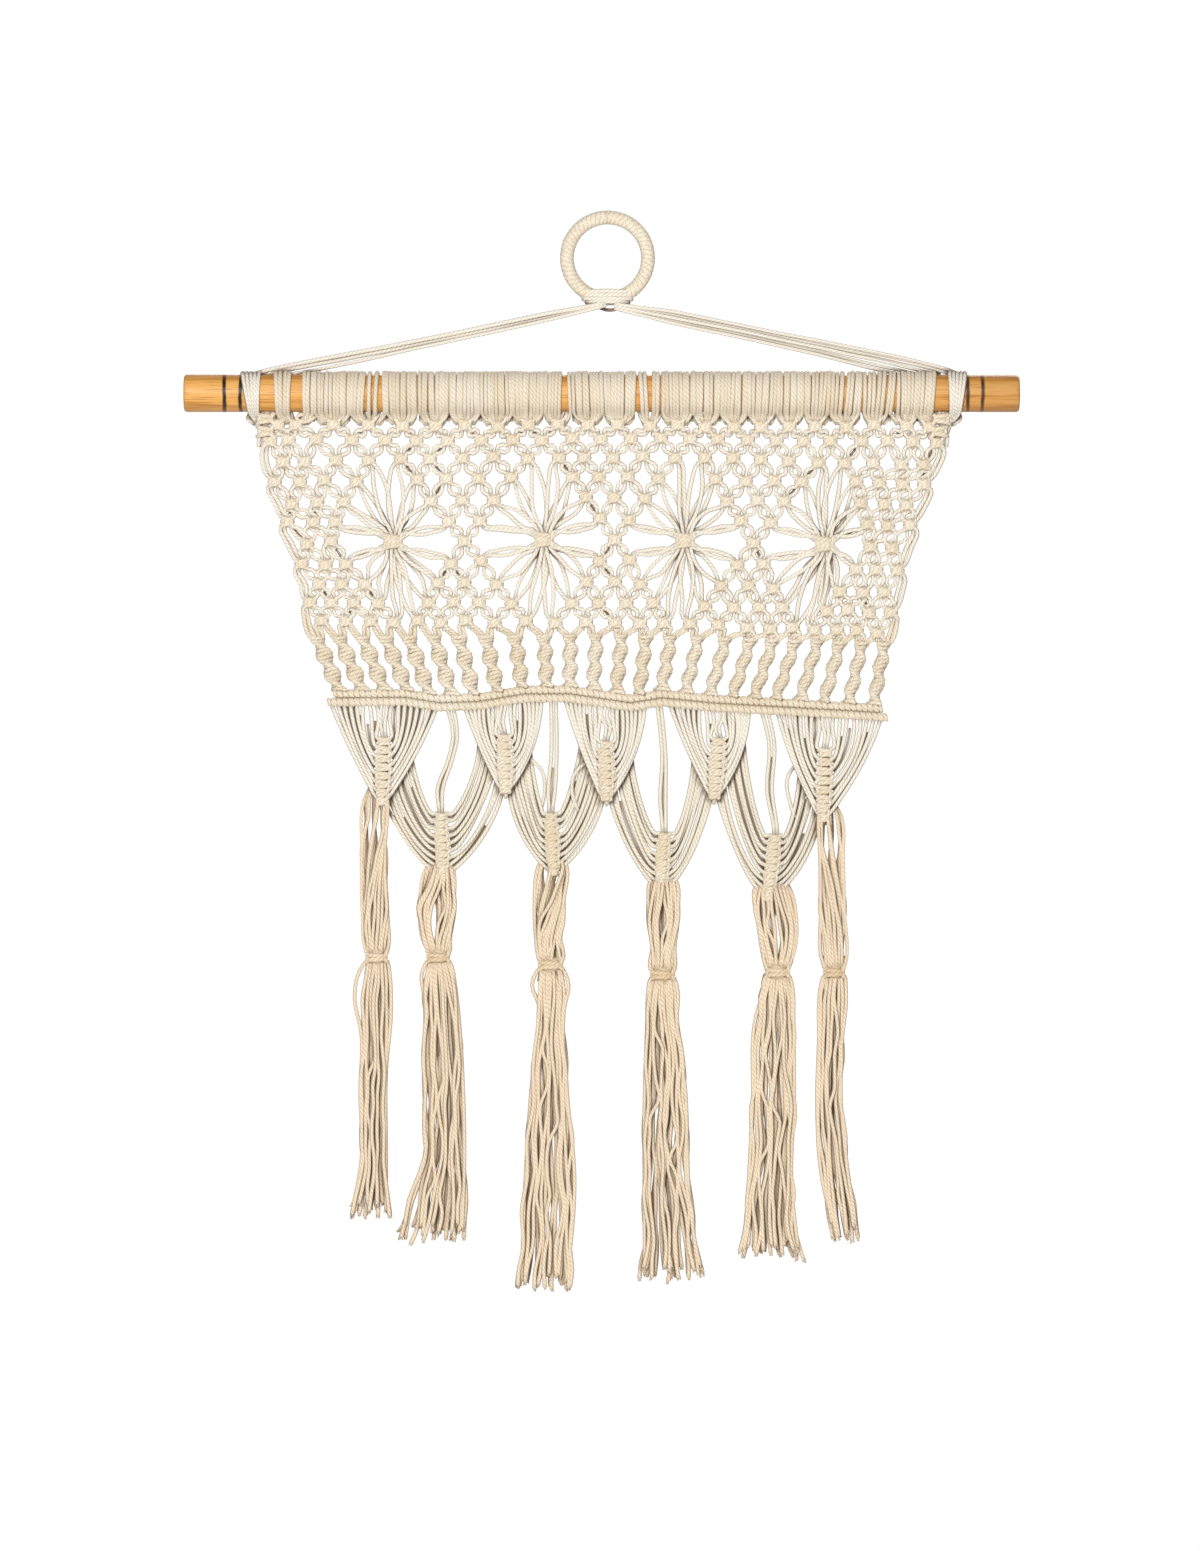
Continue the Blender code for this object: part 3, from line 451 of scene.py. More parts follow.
def turnedBeech():
    # turned beech, oiled: satin, long pale grain, darker pores, two scorched lines at each end
    value = woodValues
    look, tree, shader = newLook("turned and oiled beech", value["shader"])
    place = addNode(tree, "ShaderNodeTexCoord")
    squeeze = {"operation": "MULTIPLY", 1: value["grain"]}
    squeezed = addNode(tree, "ShaderNodeVectorMath", squeeze, {0: place.outputs["Object"]})
    streaks = {"Scale": 1.0, "Detail": 5.0, "Roughness": 0.6, "Distortion": 0.6}
    grain = addNode(tree, "ShaderNodeTexNoise", streaks, {"Vector": squeezed.outputs[0]})
    fine = {"operation": "MULTIPLY", 1: value["pores"]}
    porePlace = addNode(tree, "ShaderNodeVectorMath", fine, {0: place.outputs["Object"]})
    dots = {"Scale": 1.0, "Detail": 2.0, "Roughness": 0.5}
    pores = addNode(tree, "ShaderNodeTexNoise", dots, {"Vector": porePlace.outputs[0]})
    tones = {"stops": [(at, toLinear(tone)) for at, tone in value["tones"]]}
    wood = addNode(tree, "ShaderNodeValToRGB", tones, {"Fac": grain.outputs["Fac"]})
    sparse = {"stops": ((0.32, white), (0.45, black))}
    fleck = addNode(tree, "ShaderNodeValToRGB", sparse, {"Fac": pores.outputs["Fac"]})
    weaken = {"operation": "MULTIPLY", 1: value["poreAmount"]}
    amount = addNode(tree, "ShaderNodeMath", weaken, {0: fleck.outputs["Color"]})
    brown = {"data_type": "RGBA", 7: toLinear(value["pore"])}
    speckled = addNode(tree, "ShaderNodeMix", brown, {0: amount.outputs[0], 6: wood.outputs["Color"]})
    parts = addNode(tree, "ShaderNodeSeparateXYZ", links={"Vector": place.outputs["Object"]})
    unsteady = {"Scale": 90.0, "Detail": 2.0}
    wobble = addNode(tree, "ShaderNodeTexNoise", unsteady, {"Vector": place.outputs["Object"]})
    wander = value["scorchWander"] * mm
    slip = {"operation": "MULTIPLY_ADD", 1: wander, 2: -wander / 2}
    shift = addNode(tree, "ShaderNodeMath", slip, {0: wobble.outputs["Fac"]})
    shifted = {0: parts.outputs["X"], 1: shift.outputs[0]}
    across = addNode(tree, "ShaderNodeMath", {"operation": "ADD"}, shifted)
    away = []  # distance to each scorched line
    for ring in dowelValues["burntRings"]:
        off = addNode(tree, "ShaderNodeMath", {"operation": "SUBTRACT", 1: ring * mm}, {0: across.outputs[0]})
        away.append(addNode(tree, "ShaderNodeMath", {"operation": "ABSOLUTE"}, {0: off.outputs[0]}))
    near = away[0]
    for other in away[1:]:
        both = {0: near.outputs[0], 1: other.outputs[0]}
        near = addNode(tree, "ShaderNodeMath", {"operation": "MINIMUM"}, both)
    low, high = (dowelValues["burntHalf"] + fade for fade in dowelValues["burntFade"])
    edge = {"From Min": low * mm, "From Max": high * mm, "To Min": 1.0, "To Max": 0.0}
    scorch = addNode(tree, "ShaderNodeMapRange", edge, {"Value": near.outputs[0]})
    soot = {"data_type": "RGBA", 7: toLinear(value["scorched"])}
    burnt = addNode(tree, "ShaderNodeMix", soot, {0: scorch.outputs[0], 6: speckled.outputs[2]})
    # darker towards the right end of the dowel
    low, high = value["darkerEndFrom"]
    right = {"From Min": low, "From Max": high, "To Min": 0.0, "To Max": value["darkerEndAmount"]}
    darkerEnd = addNode(tree, "ShaderNodeMapRange", right, {"Value": parts.outputs["X"]})
    # painted shade at the upper and lower edge, where the round dowel turns away from the light
    centred = {"operation": "ADD", 1: -dowelValues["centre"] * mm}
    up = addNode(tree, "ShaderNodeMath", centred, {0: parts.outputs["Z"]})
    off = addNode(tree, "ShaderNodeMath", {"operation": "ABSOLUTE"}, {0: up.outputs[0]})
    low, high = value["rimShadeFrom"]
    rims = {"From Min": low, "From Max": high, "To Min": 0.0, "To Max": value["rimShadeAmount"]}
    rim = addNode(tree, "ShaderNodeMapRange", rims, {"Value": off.outputs[0]})
    most = addNode(tree, "ShaderNodeMath", {"operation": "ADD"}, {0: darkerEnd.outputs[0], 1: rim.outputs[0]})
    darker = {"data_type": "RGBA", 7: toLinear(value["darkEndAndRimShade"])}
    darkEndAndRimShade = addNode(tree, "ShaderNodeMix", darker, {0: most.outputs[0], 6: burnt.outputs[2]})
    tree.links.new(darkEndAndRimShade.outputs[2], shader.inputs["Base Color"])
    polish = {"From Min": 0.3, "From Max": 0.7, "To Min": 0.52, "To Max": 0.40}  # the pale grain is smoother
    rough = addNode(tree, "ShaderNodeMapRange", polish, {"Value": grain.outputs["Fac"]})
    tree.links.new(rough.outputs[0], shader.inputs["Roughness"])
    heights = {0: grain.outputs["Fac"], 1: pores.outputs["Fac"]}
    height = addNode(tree, "ShaderNodeMath", {"operation": "ADD"}, heights)
    relief = {"Strength": 0.25, "Distance": 0.15 * mm}
    bump = addNode(tree, "ShaderNodeBump", relief, {"Height": height.outputs[0]})
    tree.links.new(bump.outputs["Normal"], shader.inputs["Normal"])
    return look


dowelWood = turnedBeech()
print("materials made")


# dowel


def buildDowel():
    v = dowelValues
    half, steps, sides = v["roundedEnd"], v["bevelSteps"], v["sides"]
    profile = [(v["left"], v["radius"] - half)]
    for i in range(1, steps + 1):
        a = math.radians(90 * i / steps)
        profile.append((v["left"] + half * (1 - math.cos(a)), v["radius"] - half * (1 - math.sin(a))))
    for t in range(1, v["shaftSteps"]):
        x = mix(v["left"] + half, v["right"] - half, t / v["shaftSteps"])
        near = min(abs(x - ring) for ring in v["burntRings"])
        dip = v["burntDip"] if near < v["dipHalf"] else 0.0
        profile.append((x, v["radius"] - dip + shake(v["uneven"])))
    profile += [(v["left"] + v["right"] - x, r) for x, r in profile[steps::-1]]
    turns = [2 * math.pi * k / sides for k in range(sides)]
    points = [(x, r * math.cos(a), v["centre"] + r * math.sin(a)) for x, r in profile for a in turns]
    quads = []
    for i in range(len(profile) - 1):
        here, onward = i * sides, (i + 1) * sides
        for k in range(sides):
            after = (k + 1) % sides
            quads.append((here + k, onward + k, onward + after, here + after))
    last = (len(profile) - 1) * sides
    for k in range(0, sides - 2, 2):
        quads.append((0, k + 1, k + 2, k + 3))
        quads.append((last, last + k + 3, last + k + 2, last + k + 1))
    basket = newBasket()
    layMesh(basket, points, quads)
    piece = makePiece("dowelRod", basket, dowelWood, ["dowel"])
    piece.data.set_sharp_from_angle(angle=math.radians(v["sharpFrom"]))


buildDowel()
print("dowel made")


# hanging ring

ringValues = {
    "centre": -20.4,  # its height
    "radius": 24.35,  # of the tube's middle line
    "core": 4.2,  # padded, so that the wraps stand up only a little
    "coreSteps": 48,
    "coreSides": 14,
    "wrapAt": 3.25,  # how far out from there the wrapping cord lies
    "wrap": 1.1,  # its radius
    "turns": 68,
    "stepsPerTurn": 8,
    "unevenTurn": 0.003,
    "unevenWrap": 0.06,
}
ringBand = {  # the cords of the left hanger that lie flat over the ring's foot
    "rows": ((15.4, -40.6), (15.2, -42.8), (14.4, -45.0), (12.6, -47.0)),  # half width and height of each
    "front": 5.3,  # how far before the ring's plane
    "round": 100,  # degrees to each side
    "steps": 12,
    "cord": 1.38,
    "under": ((-7, 2.5, -47.5), (-4, 1.6, -50.4), (2, 1.2, -51.6), (7, 1.8, -50.0), (9, 2.8, -47.0)),
    "underCord": 1.2,
}


def ringPoint(turn, aroundTube, reach):  # turn goes round the ring from its top
    r = ringValues["radius"] + reach * math.cos(aroundTube)
    return (math.sin(turn) * r, -reach * math.sin(aroundTube), ringValues["centre"] + math.cos(turn) * r)


def buildRing():
    v = ringValues
    basket = newBasket(dense=True)
    core = [ringPoint(2 * math.pi * i / v["coreSteps"], 0, 0) for i in range(v["coreSteps"] + 1)]
    layCord(basket, core, v["core"], v["coreSides"])
    total = v["turns"] * v["stepsPerTurn"]
    wrap = []
    for i in range(total + 1):
        turn = 2 * math.pi * i / total + shake(v["unevenTurn"])
        aroundTube = 2 * math.pi * i / v["stepsPerTurn"]
        wrap.append(ringPoint(turn, aroundTube, v["wrapAt"] + shake(v["unevenWrap"])))
    layCord(basket, wrap, v["wrap"])
    makePiece("wrappedRing", basket, creamCord, ["hanging_ring"])


buildRing()
print("ring made")


# knots


def squareKnot(x, z, core, half, flip=1, y=0.0, r=None):
    # the two working cords of a square knot round a core of that half width and half depth:
    # each point of a way is a share of the knot's half width, half depth and half height
    r = r or cordStyle["knotted"]
    wide, deep = core[0] + 0.85 * r, core[1] + 0.9 * r
    front = [
        (-1.5, -0.1, 0.82), (-0.95, -0.6, 0.54), (-0.35, -0.96, 0.42),
        (0.35, -0.96, 0.36), (0.82, -0.6, 0.2),
    ]
    front = front + [(0.98, -0.1, 0.0)] + [(a, b, -c) for a, b, c in front[::-1]]
    wrap = [
        (1.5, -0.3, 0.84), (1.0, -0.66, 0.48), (0.88, -0.4, 0.1), (0.84, 0.35, 0.05), (0.35, 0.96, 0.20),
        (-0.35, 0.96, 0.40), (-0.84, 0.4, 0.46), (-0.97, -0.3, 0.36), (-1.0, -0.5, 0.14),
    ]
    wrap = wrap + [(-1.0, -0.52, 0.0)] + [(a, b, -c) for a, b, c in wrap[::-1]]

    def placed(shape):
        ends = (0, len(shape) - 1)
        return [
            (x + flip * a * wide, y + b * deep, z + c * half, r * (0.92 if i in ends else 1.0))
            for i, (a, b, c) in enumerate(shape)
        ]

    first, second = placed(front), placed(wrap)
    return (first, second) if flip > 0 else (second, first)  # left cord, right cord


def knotHeart(basket, x, z, wide, radius, y=0.0):
    # the pressed cords that fill a knot out to a round lump
    shape = ((-1, 0.15), (-0.87, 0.52), (-0.5, 0.87), (0, 1), (0.5, 0.87), (0.87, 0.52), (1, 0.15))
    layCord(basket, [(x + a * wide, y, z, r * radius) for a, r in shape], sides=10)


# knotted net

netValues = {
    "runs": 48,  # of two cords each
    "dropAt": (0, 23.5, 47),  # the runs at which the levels below say how deep a row lies
    "spreadAt": (0, 3.5, 8.5, 13.5, 18.5, 23.5, 28.5, 33.5, 38.5, 43.5, 47),  # and where a run passes it
    "lastRow": 11,
    "spiralTop": 12,
    "spiralFoot": 13,
    "motifRuns": (9, 19, 29, 39),  # the run right of the middle of each gathered knot
    "motifRow": 7,
    "knotCore": (1.45, 1.05),  # half width and half depth of what a square knot is tied round
    "knotHalf": 3.85,  # half height of a knot
    "fillerApart": (1.1, 2.0),  # of the two middle cords, inside a knot and where they leave it
    "heart": (4.3, 3.85),  # half width and radius of a knot's round lump
    "free": 1.4,  # radius between knots
    "filler": 1.3,
    "knotShift": (1.0, 0.9),
    "leftHanded": 0.3,  # share of the knots that are tied the other way round
    "motifCore": (3.2, 2.6),
    "motifHalf": 4,  # runs that a gathered knot takes in on each side
    "motifHalfHeight": 4.8,
    "motifHeart": (5.7, 5.3),
    "motifPairApart": 0.95,  # half of what lies between the two cords of a tied pair
    "motifSpread": 3.9,
    "motifDepths": ((-1.7, 1.2, -0.3), (-1.3, 0.7, 2.3)),
    "bow": (0.9, 2.1),  # how far a free run bends aside
    "motifBow": (0.6, 3.6),  # and a longer one, to or from a gathered knot
    "shadedEyes": 0.1,  # share of the eyes that get a cord behind them, painted in shade so that the eye shows dark
    "shadeBehind": 2.0,  # how far behind the knots it lies
    "shadeCord": 0.9,
}
netLevels = (  # how deep a row lies at its left end, middle and right end, and where its runs pass it
    {"row": 1, "drop": (120.8, 121.2, 121.4),
     "spread": (-207, -187, -132, -85, -39, 7, 51, 92.5, 133.5, 179, 203)},
    {"row": 2, "drop": (130, 129, 131),
     "spread": (-206.5, -184, -133, -86, -38.5, 5, 50, 92.5, 134, 177.5, 200.5)},
    {"row": 3, "drop": (142.5, 139.5, 144.5),
     "spread": (-206, -181.5, -134, -87.5, -38, 3.5, 49, 92.5, 134.5, 176, 198)},
    {"row": 5, "drop": (167.5, 164.5, 168.5),
     "spread": (-198.5, -175, -131.5, -87.5, -38, 4.5, 47.5, 89.5, 132.5, 166.5, 189.5)},
    {"row": 7, "drop": (191.5, 189, 194),
     "spread": (-191, -166.5, -128.5, -86.5, -38, 5, 46.5, 87.5, 130.5, 158, 181)},
    {"row": 9, "drop": (217, 215, 221.5),
     "spread": (-182.5, -160, -125, -86, -38.5, 4.5, 44, 85.5, 122, 152.5, 175.5)},
    {"row": 11, "drop": (238, 239, 245.5),
     "spread": (-182, -157, -120.5, -85, -40, 4, 40.5, 83.5, 117.5, 150, 172)},
    {"row": 12, "drop": (249.5, 248, 253),
     "spread": (-178, -154.5, -119.5, -82, -38, 1, 38, 79.5, 113, 146.5, 169.5)},
    {"row": 13, "drop": (279, 281, 286),
     "spread": (-164.5, -140.5, -107, -73.5, -36.5, -1.5, 32.5, 68.5, 101, 137, 163.5)},
)
barValues = {
    "line": (  # between the two bars, which sag a little
        (-167.0, -284.4), (-121.5, -284.1), (-100.5, -287.4), (-76.5, -286.5),
        (-49.5, -282.0), (-22.5, -282.0), (14.0, -287.4), (32.5, -284.4),
        (62.5, -287.4), (125.5, -291.0), (167.5, -293.4),
    ),
    "height": 5.2,  # from one bar to the other
    "upperEnds": (-164.0, 164.5),
    "lowerEnds": (-167.5, 167.5),
    "carrier": 2.0,  # radius of the cord that the hitches are tied round
    "beyond": 0.4,  # how far the carrier stands out past its last hitch
    "carrierSteps": 40,
    "wrap": 1.6,  # how far out the turns of a hitch run
    "wrapCord": 1.16,  # and their radius
    "wrapSteps": 18,
    "wrapLean": 0.99,  # share of the pitch that a hitch's one and a half turns move along
    "fillIn": 1.0,
    "fillBehind": 1.3,  # one cord fills the valley between the two bars from behind, so that it shows as a dark line: it lies in shade and takes a little painted shade
    "fillCord": 1.2,
}


def netPoint(run, row):
    rows = [level["row"] for level in netLevels]
    spreads = [along(run, netValues["spreadAt"], level["spread"]) for level in netLevels]
    drops = [along(run, netValues["dropAt"], level["drop"]) for level in netLevels]
    return along(row, rows, spreads), -along(row, rows, drops)


def barZ(x):
    return along(x, [p[0] for p in barValues["line"]], [p[1] for p in barValues["line"]])


def inMotif(leftRun, row):
    for first in netValues["motifRuns"]:
        if abs(leftRun + 1 - first) < netValues["motifHalf"] - abs(row - netValues["motifRow"]) + 0.5:
            return True
    return False


def knotRows():  # for each run, what its two cords pass from the top down
    stops = {run: [] for run in range(netValues["runs"])}
    for row in range(1, netValues["lastRow"] + 1):
        for leftRun in range(1 if row % 2 else 0, netValues["runs"] - 1, 2):
            if inMotif(leftRun, row):
                continue
            x, z = netPoint(leftRun + 0.5, row)
            x += shake(netValues["knotShift"][0])
            z += shake(netValues["knotShift"][1])
            spot = ("knot", x, z, leftRun, -1 if dice.random() < netValues["leftHanded"] else 1)
            stops[leftRun].append((row, spot))
            stops[leftRun + 1].append((row, spot))
        if row == netValues["motifRow"]:
            for first in netValues["motifRuns"]:
                x, z = netPoint(first - 0.5, row)
                for run in range(first - netValues["motifHalf"], first + netValues["motifHalf"]):
                    stops[run].append((row, ("motif", x, z, first, 1)))
    return stops


def throughKnot(run, cord, spot):
    kind, x, z, leftRun, flip = spot
    v = netValues
    if kind == "knot":
        onLeft = run == leftRun
        if (cord == 0) == onLeft:
            left, right = squareKnot(x, z, v["knotCore"], v["knotHalf"], flip)
            return left if onLeft else right
        inside, leaving = (x + (-apart if onLeft else apart) for apart in v["fillerApart"])
        high = v["knotHalf"] * 0.95
        return sized([(leaving, 0, z + high), (inside, 0, z), (leaving, 0, z - high)], v["filler"])
    # a gathered knot: the two outer pairs of its sixteen cords are tied round the other twelve
    high = v["motifHalfHeight"]
    place = (run - (leftRun - v["motifHalf"])) * 2 + cord
    if place in (0, 1, 14, 15):
        left, right = squareKnot(x, z, v["motifCore"], high, 1)
        pick = left if place < 2 else right
        apart = v["motifPairApart"] if place in (0, 15) else -v["motifPairApart"]
        return [(px, py, pz + (apart if pz > z else -apart), pr) for px, py, pz, pr in pick]
    aside = mix(-v["motifSpread"], v["motifSpread"], (place - 2) / 11)
    y = v["motifDepths"][place % 2][place % 3]
    way = [(x + aside * 1.1, y, z + high), (x + aside * 0.85, y, z), (x + aside * 1.1, y, z - high)]
    return sized(way, v["filler"])


def laced(before, after, bow, stray):  # the free run of one cord between two knots
    (x0, y0, z0), (x1, y1, z1) = before[:3], after[:3]
    dx, dz = x1 - x0, z1 - z0
    size = math.hypot(dx, dz) or 1.0
    out = []
    for t, share in ((0.28, 0.85), (0.72, 0.85)):
        aside = bow * share + shake(stray)
        y = mix(y0, y1, t) + shake(0.3)
        out.append((x0 + dx * t - dz / size * aside, y, z0 + dz * t + dx / size * aside))
    return sized(out, netValues["free"])


def netCord(run, cord, passed, top):
    points = sized(top, netValues["free"])
    previousRow = 0
    for row, spot in passed:
        through = throughKnot(run, cord, spot)
        if row - previousRow == 2 and run in (0, netValues["runs"] - 1) and previousRow:
            # at the net's edge the outer pair passes a row without a knot
            x, z = netPoint(run, row - 1)
            inward = -1.5 + 3.0 * (cord if run == 0 else 1 - cord) + shake(0.3)
            points += sized([(x + (inward if run == 0 else -inward), shake(0.3), z)], netValues["free"])
        elif previousRow:
            low, high = netValues["bow"] if row - previousRow == 1 else netValues["motifBow"]
            side = 1 if cord else -1
            stray = 0.3 if row - previousRow == 1 else 1.1
            points += laced(points[-1], through[0], side * dice.uniform(low, high), stray)
        points += through
        previousRow = row
    return points


spiralValues = {
    "halfKnots": 14,
    "stepsEach": 6,
    "turnEach": 36.0,  # degrees that each half knot turns further
    "begin": 20.0,  # degrees to each side for the first, at random
    "wide": 3.5,  # half width of the winding
    "deep": 1.9,  # and its half depth
    "widerFrom": 0.85,  # towards the bar the cords spread again
    "wider": 0.28,
    "bulge": 0.10,  # a wrap stands out more at its two sides
    "dip": 0.55,  # and on its way across it dips and rises by that much
    "tilt": 0.42,  # each wrap rises to the right
    "core": 2.1,  # radius of the two core cords
    "coreApart": 1.4,
    "coreSteps": 8,
    "cord": 1.38,
    "lead": 1.1,  # and where they come in
}


def spiralCords(leftRun, lead):
    # half knots one under another turn by themselves: two cores and two cords winding round them
    v = spiralValues
    topX, topZ = netPoint(leftRun + 0.5, netValues["spiralTop"])
    footX, _ = netPoint(leftRun + 0.5, netValues["spiralFoot"])
    footZ = barZ(footX) + barValues["height"] - 0.6
    topZ += 2.0
    begin = dice.uniform(-v["begin"], v["begin"])
    count, each = v["halfKnots"], v["stepsEach"]
    out = []
    for cord in range(2):
        points = [lead[0 if cord == 0 else 3][:3]]
        for i in range(count * each + 1):
            t = i / (count * each)
            knot = i / each
            turned = math.radians(begin + v["turnEach"] * knot)
            a = math.pi * (knot + cord)
            wider = 1 + v["wider"] * max(0.0, t - v["widerFrom"]) / (1 - v["widerFrom"])
            bulge = 1 + v["bulge"] * math.cos(2 * math.pi * knot)
            across, deep = -v["wide"] * math.cos(a) * bulge * wider, -v["deep"] * math.sin(a)
            aside = across * math.cos(turned) - deep * math.sin(turned)
            y = across * math.sin(turned) + deep * math.cos(turned)
            dip = v["dip"] * math.sin(2 * math.pi * knot)
            rise = v["tilt"] * aside * min(1.0, 6 * (1 - t), 6 * t)
            points.append((mix(topX, footX, t) + aside, y, mix(topZ, footZ, t) - dip + rise))
        out.append(points)
    for side in (-1, 1):
        points = [lead[1 if side < 0 else 2][:3]]
        for i in range(v["coreSteps"] + 1):
            t = i / v["coreSteps"]
            a = math.radians(begin + v["turnEach"] * count * t)
            apart = side * v["coreApart"]
            x, z = mix(topX, footX, t), mix(topZ, footZ, t)
            points.append((x + apart * math.cos(a), apart * math.sin(a), z))
        out.append(points)
    return out  # two winding cords, then two cores


def buildNet():
    v = netValues
    stops = knotRows()
    halves = (newBasket(), newBasket())
    ends = {}
    for run in range(v["runs"]):
        basket = halves[0 if run < v["runs"] / 2 else 1]
        firstRow, first = stops[run][0]
        for cord in range(2):
            entry = throughKnot(run, cord, first)[0]
            if firstRow == 1:
                x = first[1] + (entry[0] - first[1]) * 1.55
                top = [(x, 1.5, -107.0), (x, -0.6, -113.2)]
            else:
                x = netPoint(run, 1)[0] + cord * 2.2
                top = [(x, 1.0, -107.0), (x, -0.8, -114.5), (x, 0, -121)]
            points = netCord(run, cord, stops[run], top)
            ends[(run, cord)] = points[-1]
            points.append(tuple(np.add(points[-1], (0, 0, -1.5, 0))))
            layCord(basket, points)
        for _, (kind, x, z, leftRun, _) in stops[run]:
            if run == leftRun:
                knotHeart(basket, x, z, *v["heart" if kind == "knot" else "motifHeart"])
        # a cord put behind a few eyes, where its painted crevice shade shows as a dark fill
        for (row, above), (following, below) in zip(stops[run], stops[run][1:]):
            if following == row + 1 and dice.random() < v["shadedEyes"]:
                places = [(mix(above[1], below[1], t), mix(above[2], below[2], t)) for t in (0.2, 0.5, 0.8)]
                layCord(basket, [(x, v["shadeBehind"], z) for x, z in places], v["shadeCord"])
    makePiece("squareKnotNetLeft", halves[0], creamCord, ["knotted_net"])
    makePiece("squareKnotNetRight", halves[1], creamCord, ["knotted_net"])
    spirals = newBasket(dense=True)
    winding, lead, core = (spiralValues[name] for name in ("cord", "lead", "core"))
    for leftRun in range(0, v["runs"], 2):
        cords = [ends[(run, cord)] for run in (leftRun, leftRun + 1) for cord in range(2)]
        for i, points in enumerate(spiralCords(leftRun, cords)):
            layCord(spirals, points, winding if i < 2 else (lead, core, core))
    makePiece("halfKnotSpirals", spirals, creamCord, ["knotted_net"])


buildNet()
print("net made")


# wound loops on the dowel

loopValues = {
    "reach": 12.25,  # from the dowel's middle line to a turn's own
    "radius": (1.14, 1.5),
    "backAngle": 18.0,  # degrees short of the dowel's underside, where a loop goes behind into a knot
    "frontAngle": 16.0,
    "steps": 9,
    "hang": -114.4,  # just under the dowel, where a turn begins and ends
    "knotTop": -119.8,
    "spread": 0.42,  # share of its distance from the knot that a loop keeps when it reaches it
    "astray": 0.42,  # how far a turn lies from its even place
    "sway": 0.3,  # how much its lean differs from the last one's
    "swayKept": 0.7,
    "proud": 0.3,  # how far it may stand out or in
    "shadeShare": 0.7,  # of the gaps between two bunches, that get a cord behind them painted in shade
    "shadeCord": 0.9,
    "strayLoop": (
        (-174.5, 1, -113.6), (-177.3, -1, -113.4), (-182.1, -2.5, -114.0), (-186.6, -2.5, -116.4),
        (-183.9, -2, -118.8), (-179.1, -1.5, -118.2), (-174.9, -0.5, -115.4),
    ),
    "strayCord": 1.15,
}
loopBands = (  # edges of each band, its lean at both edges, and its knot where that isn't the nearest
    {"node": 1, "left": -199.4, "right": -189.8, "count": 4, "lean": (1.0, -0.6), "knot": -190.4},
    {"node": 2, "left": -182.4, "right": -145.4, "count": 17, "lean": (0.3, -0.7), "knot": None},
    {"node": 2, "left": -143.9, "right": -141.0, "count": 1, "lean": (-0.6, -0.6), "knot": None},
    {"node": 2, "left": -140.4, "right": -137.8, "count": 1, "lean": (-0.4, -0.4), "knot": None},
    {"node": 3, "left": -134.9, "right": -27.7, "count": 51, "lean": (0.2, -0.2), "knot": None},
    {"node": 4, "left": -23.4, "right": 16.6, "count": 19, "lean": (0.3, 0.0), "knot": None},
    {"node": 5, "left": 18.7, "right": 24.4, "count": 2, "lean": (1.0, 0.3), "knot": None},
    {"node": 5, "left": 26.2, "right": 31.4, "count": 2, "lean": (-0.3, -0.2), "knot": None},
    {"node": 5, "left": 32.4, "right": 126.0, "count": 45, "lean": (0.0, -0.4), "knot": None},
    {"node": 5, "left": 126.3, "right": 141.0, "count": 6, "lean": (-1.0, -0.9), "knot": None},
    {"node": 5, "left": 142.4, "right": 152.4, "count": 4, "lean": (-0.9, -0.6), "knot": None},
    {"node": 5, "left": 152.8, "right": 160.6, "count": 3, "lean": (-0.2, -0.5), "knot": None},
    {"node": 5, "left": 161.0, "right": 172.6, "count": 4, "lean": (-1.1, -0.9), "knot": None},
    {"node": 5, "left": 173.4, "right": 195.8, "count": 11, "lean": (-0.2, -0.7), "knot": None},
)


def loopRound(x, knotX, knotZ, slant=0.0, proud=0.0):
    # from the knot up the front, over the dowel, down behind and under to the knot again
    v = loopValues
    middle = dowelValues["centre"]
    near, low = mix(knotX, x, v["spread"]), mix(knotX, x, 0.96) + slant
    front, back = math.radians(v["frontAngle"]), math.radians(360 - v["backAngle"])
    points = [(near, 0.9, knotZ), (low, -2.0, v["hang"] + 1.2 * proud)]
    for i in range(v["steps"] + 1):
        a = mix(front, back, i / v["steps"])
        reach = v["reach"] + proud
        points.append((x + slant * math.cos(a), -reach * math.sin(a), middle - reach * math.cos(a)))
    points += [(mix(near, x, 0.9), 3.0, v["hang"] - 2.0), (mix(near, x, 0.3), 2.2, knotZ - 0.5)]
    return points


def buildLoops():
    v = loopValues
    knotXs = [netPoint(run + 0.5, 1)[0] for run in range(1, netValues["runs"] - 2, 2)]
    for number in range(1, loopBands[-1]["node"] + 1):
        basket = newBasket(dense=True)
        for band in (b for b in loopBands if b["node"] == number):
            sway = 0.0
            for i in range(band["count"]):
                share = (i + 0.5) / band["count"]
                x = mix(band["left"], band["right"], share) + shake(v["astray"])
                sway = v["swayKept"] * sway + shake(v["sway"])  # neighbours lean much alike
                knotX = band["knot"] or min(knotXs, key=lambda k: abs(k - x))
                knotZ = v["knotTop"] + shake(0.5)
                lean = mix(*band["lean"], share) + sway
                way = loopRound(x, knotX, knotZ, lean, shake(v["proud"]))
                layCord(basket, way, dice.uniform(*v["radius"]))
        if number == 2:  # a loose loop hangs out between two bands
            layCord(basket, v["strayLoop"], v["strayCord"])
        makePiece(f"dowelLoops{number}", basket, creamCord, [f"dowel_loops_{number}"])
    shade = newBasket()
    for left, right in zip(knotXs, knotXs[1:]):
        # a cord behind the gap between two bunches as they run to their knots, painted in shade so that the
        # gap shows dark
        if dice.random() < v["shadeShare"]:
            x = mix(left, right, 0.5) + shake(0.8)
            way = [(x + shake(0.6), 2.6, -113.2), (x + shake(0.6), 2.2, -118.4)]
            layCord(shade, way, v["shadeCord"])
    makePiece("shadeCordsUnderDowel", shade, creamCord, ["knotted_net"])


buildLoops()
print("loops made")


# hangers

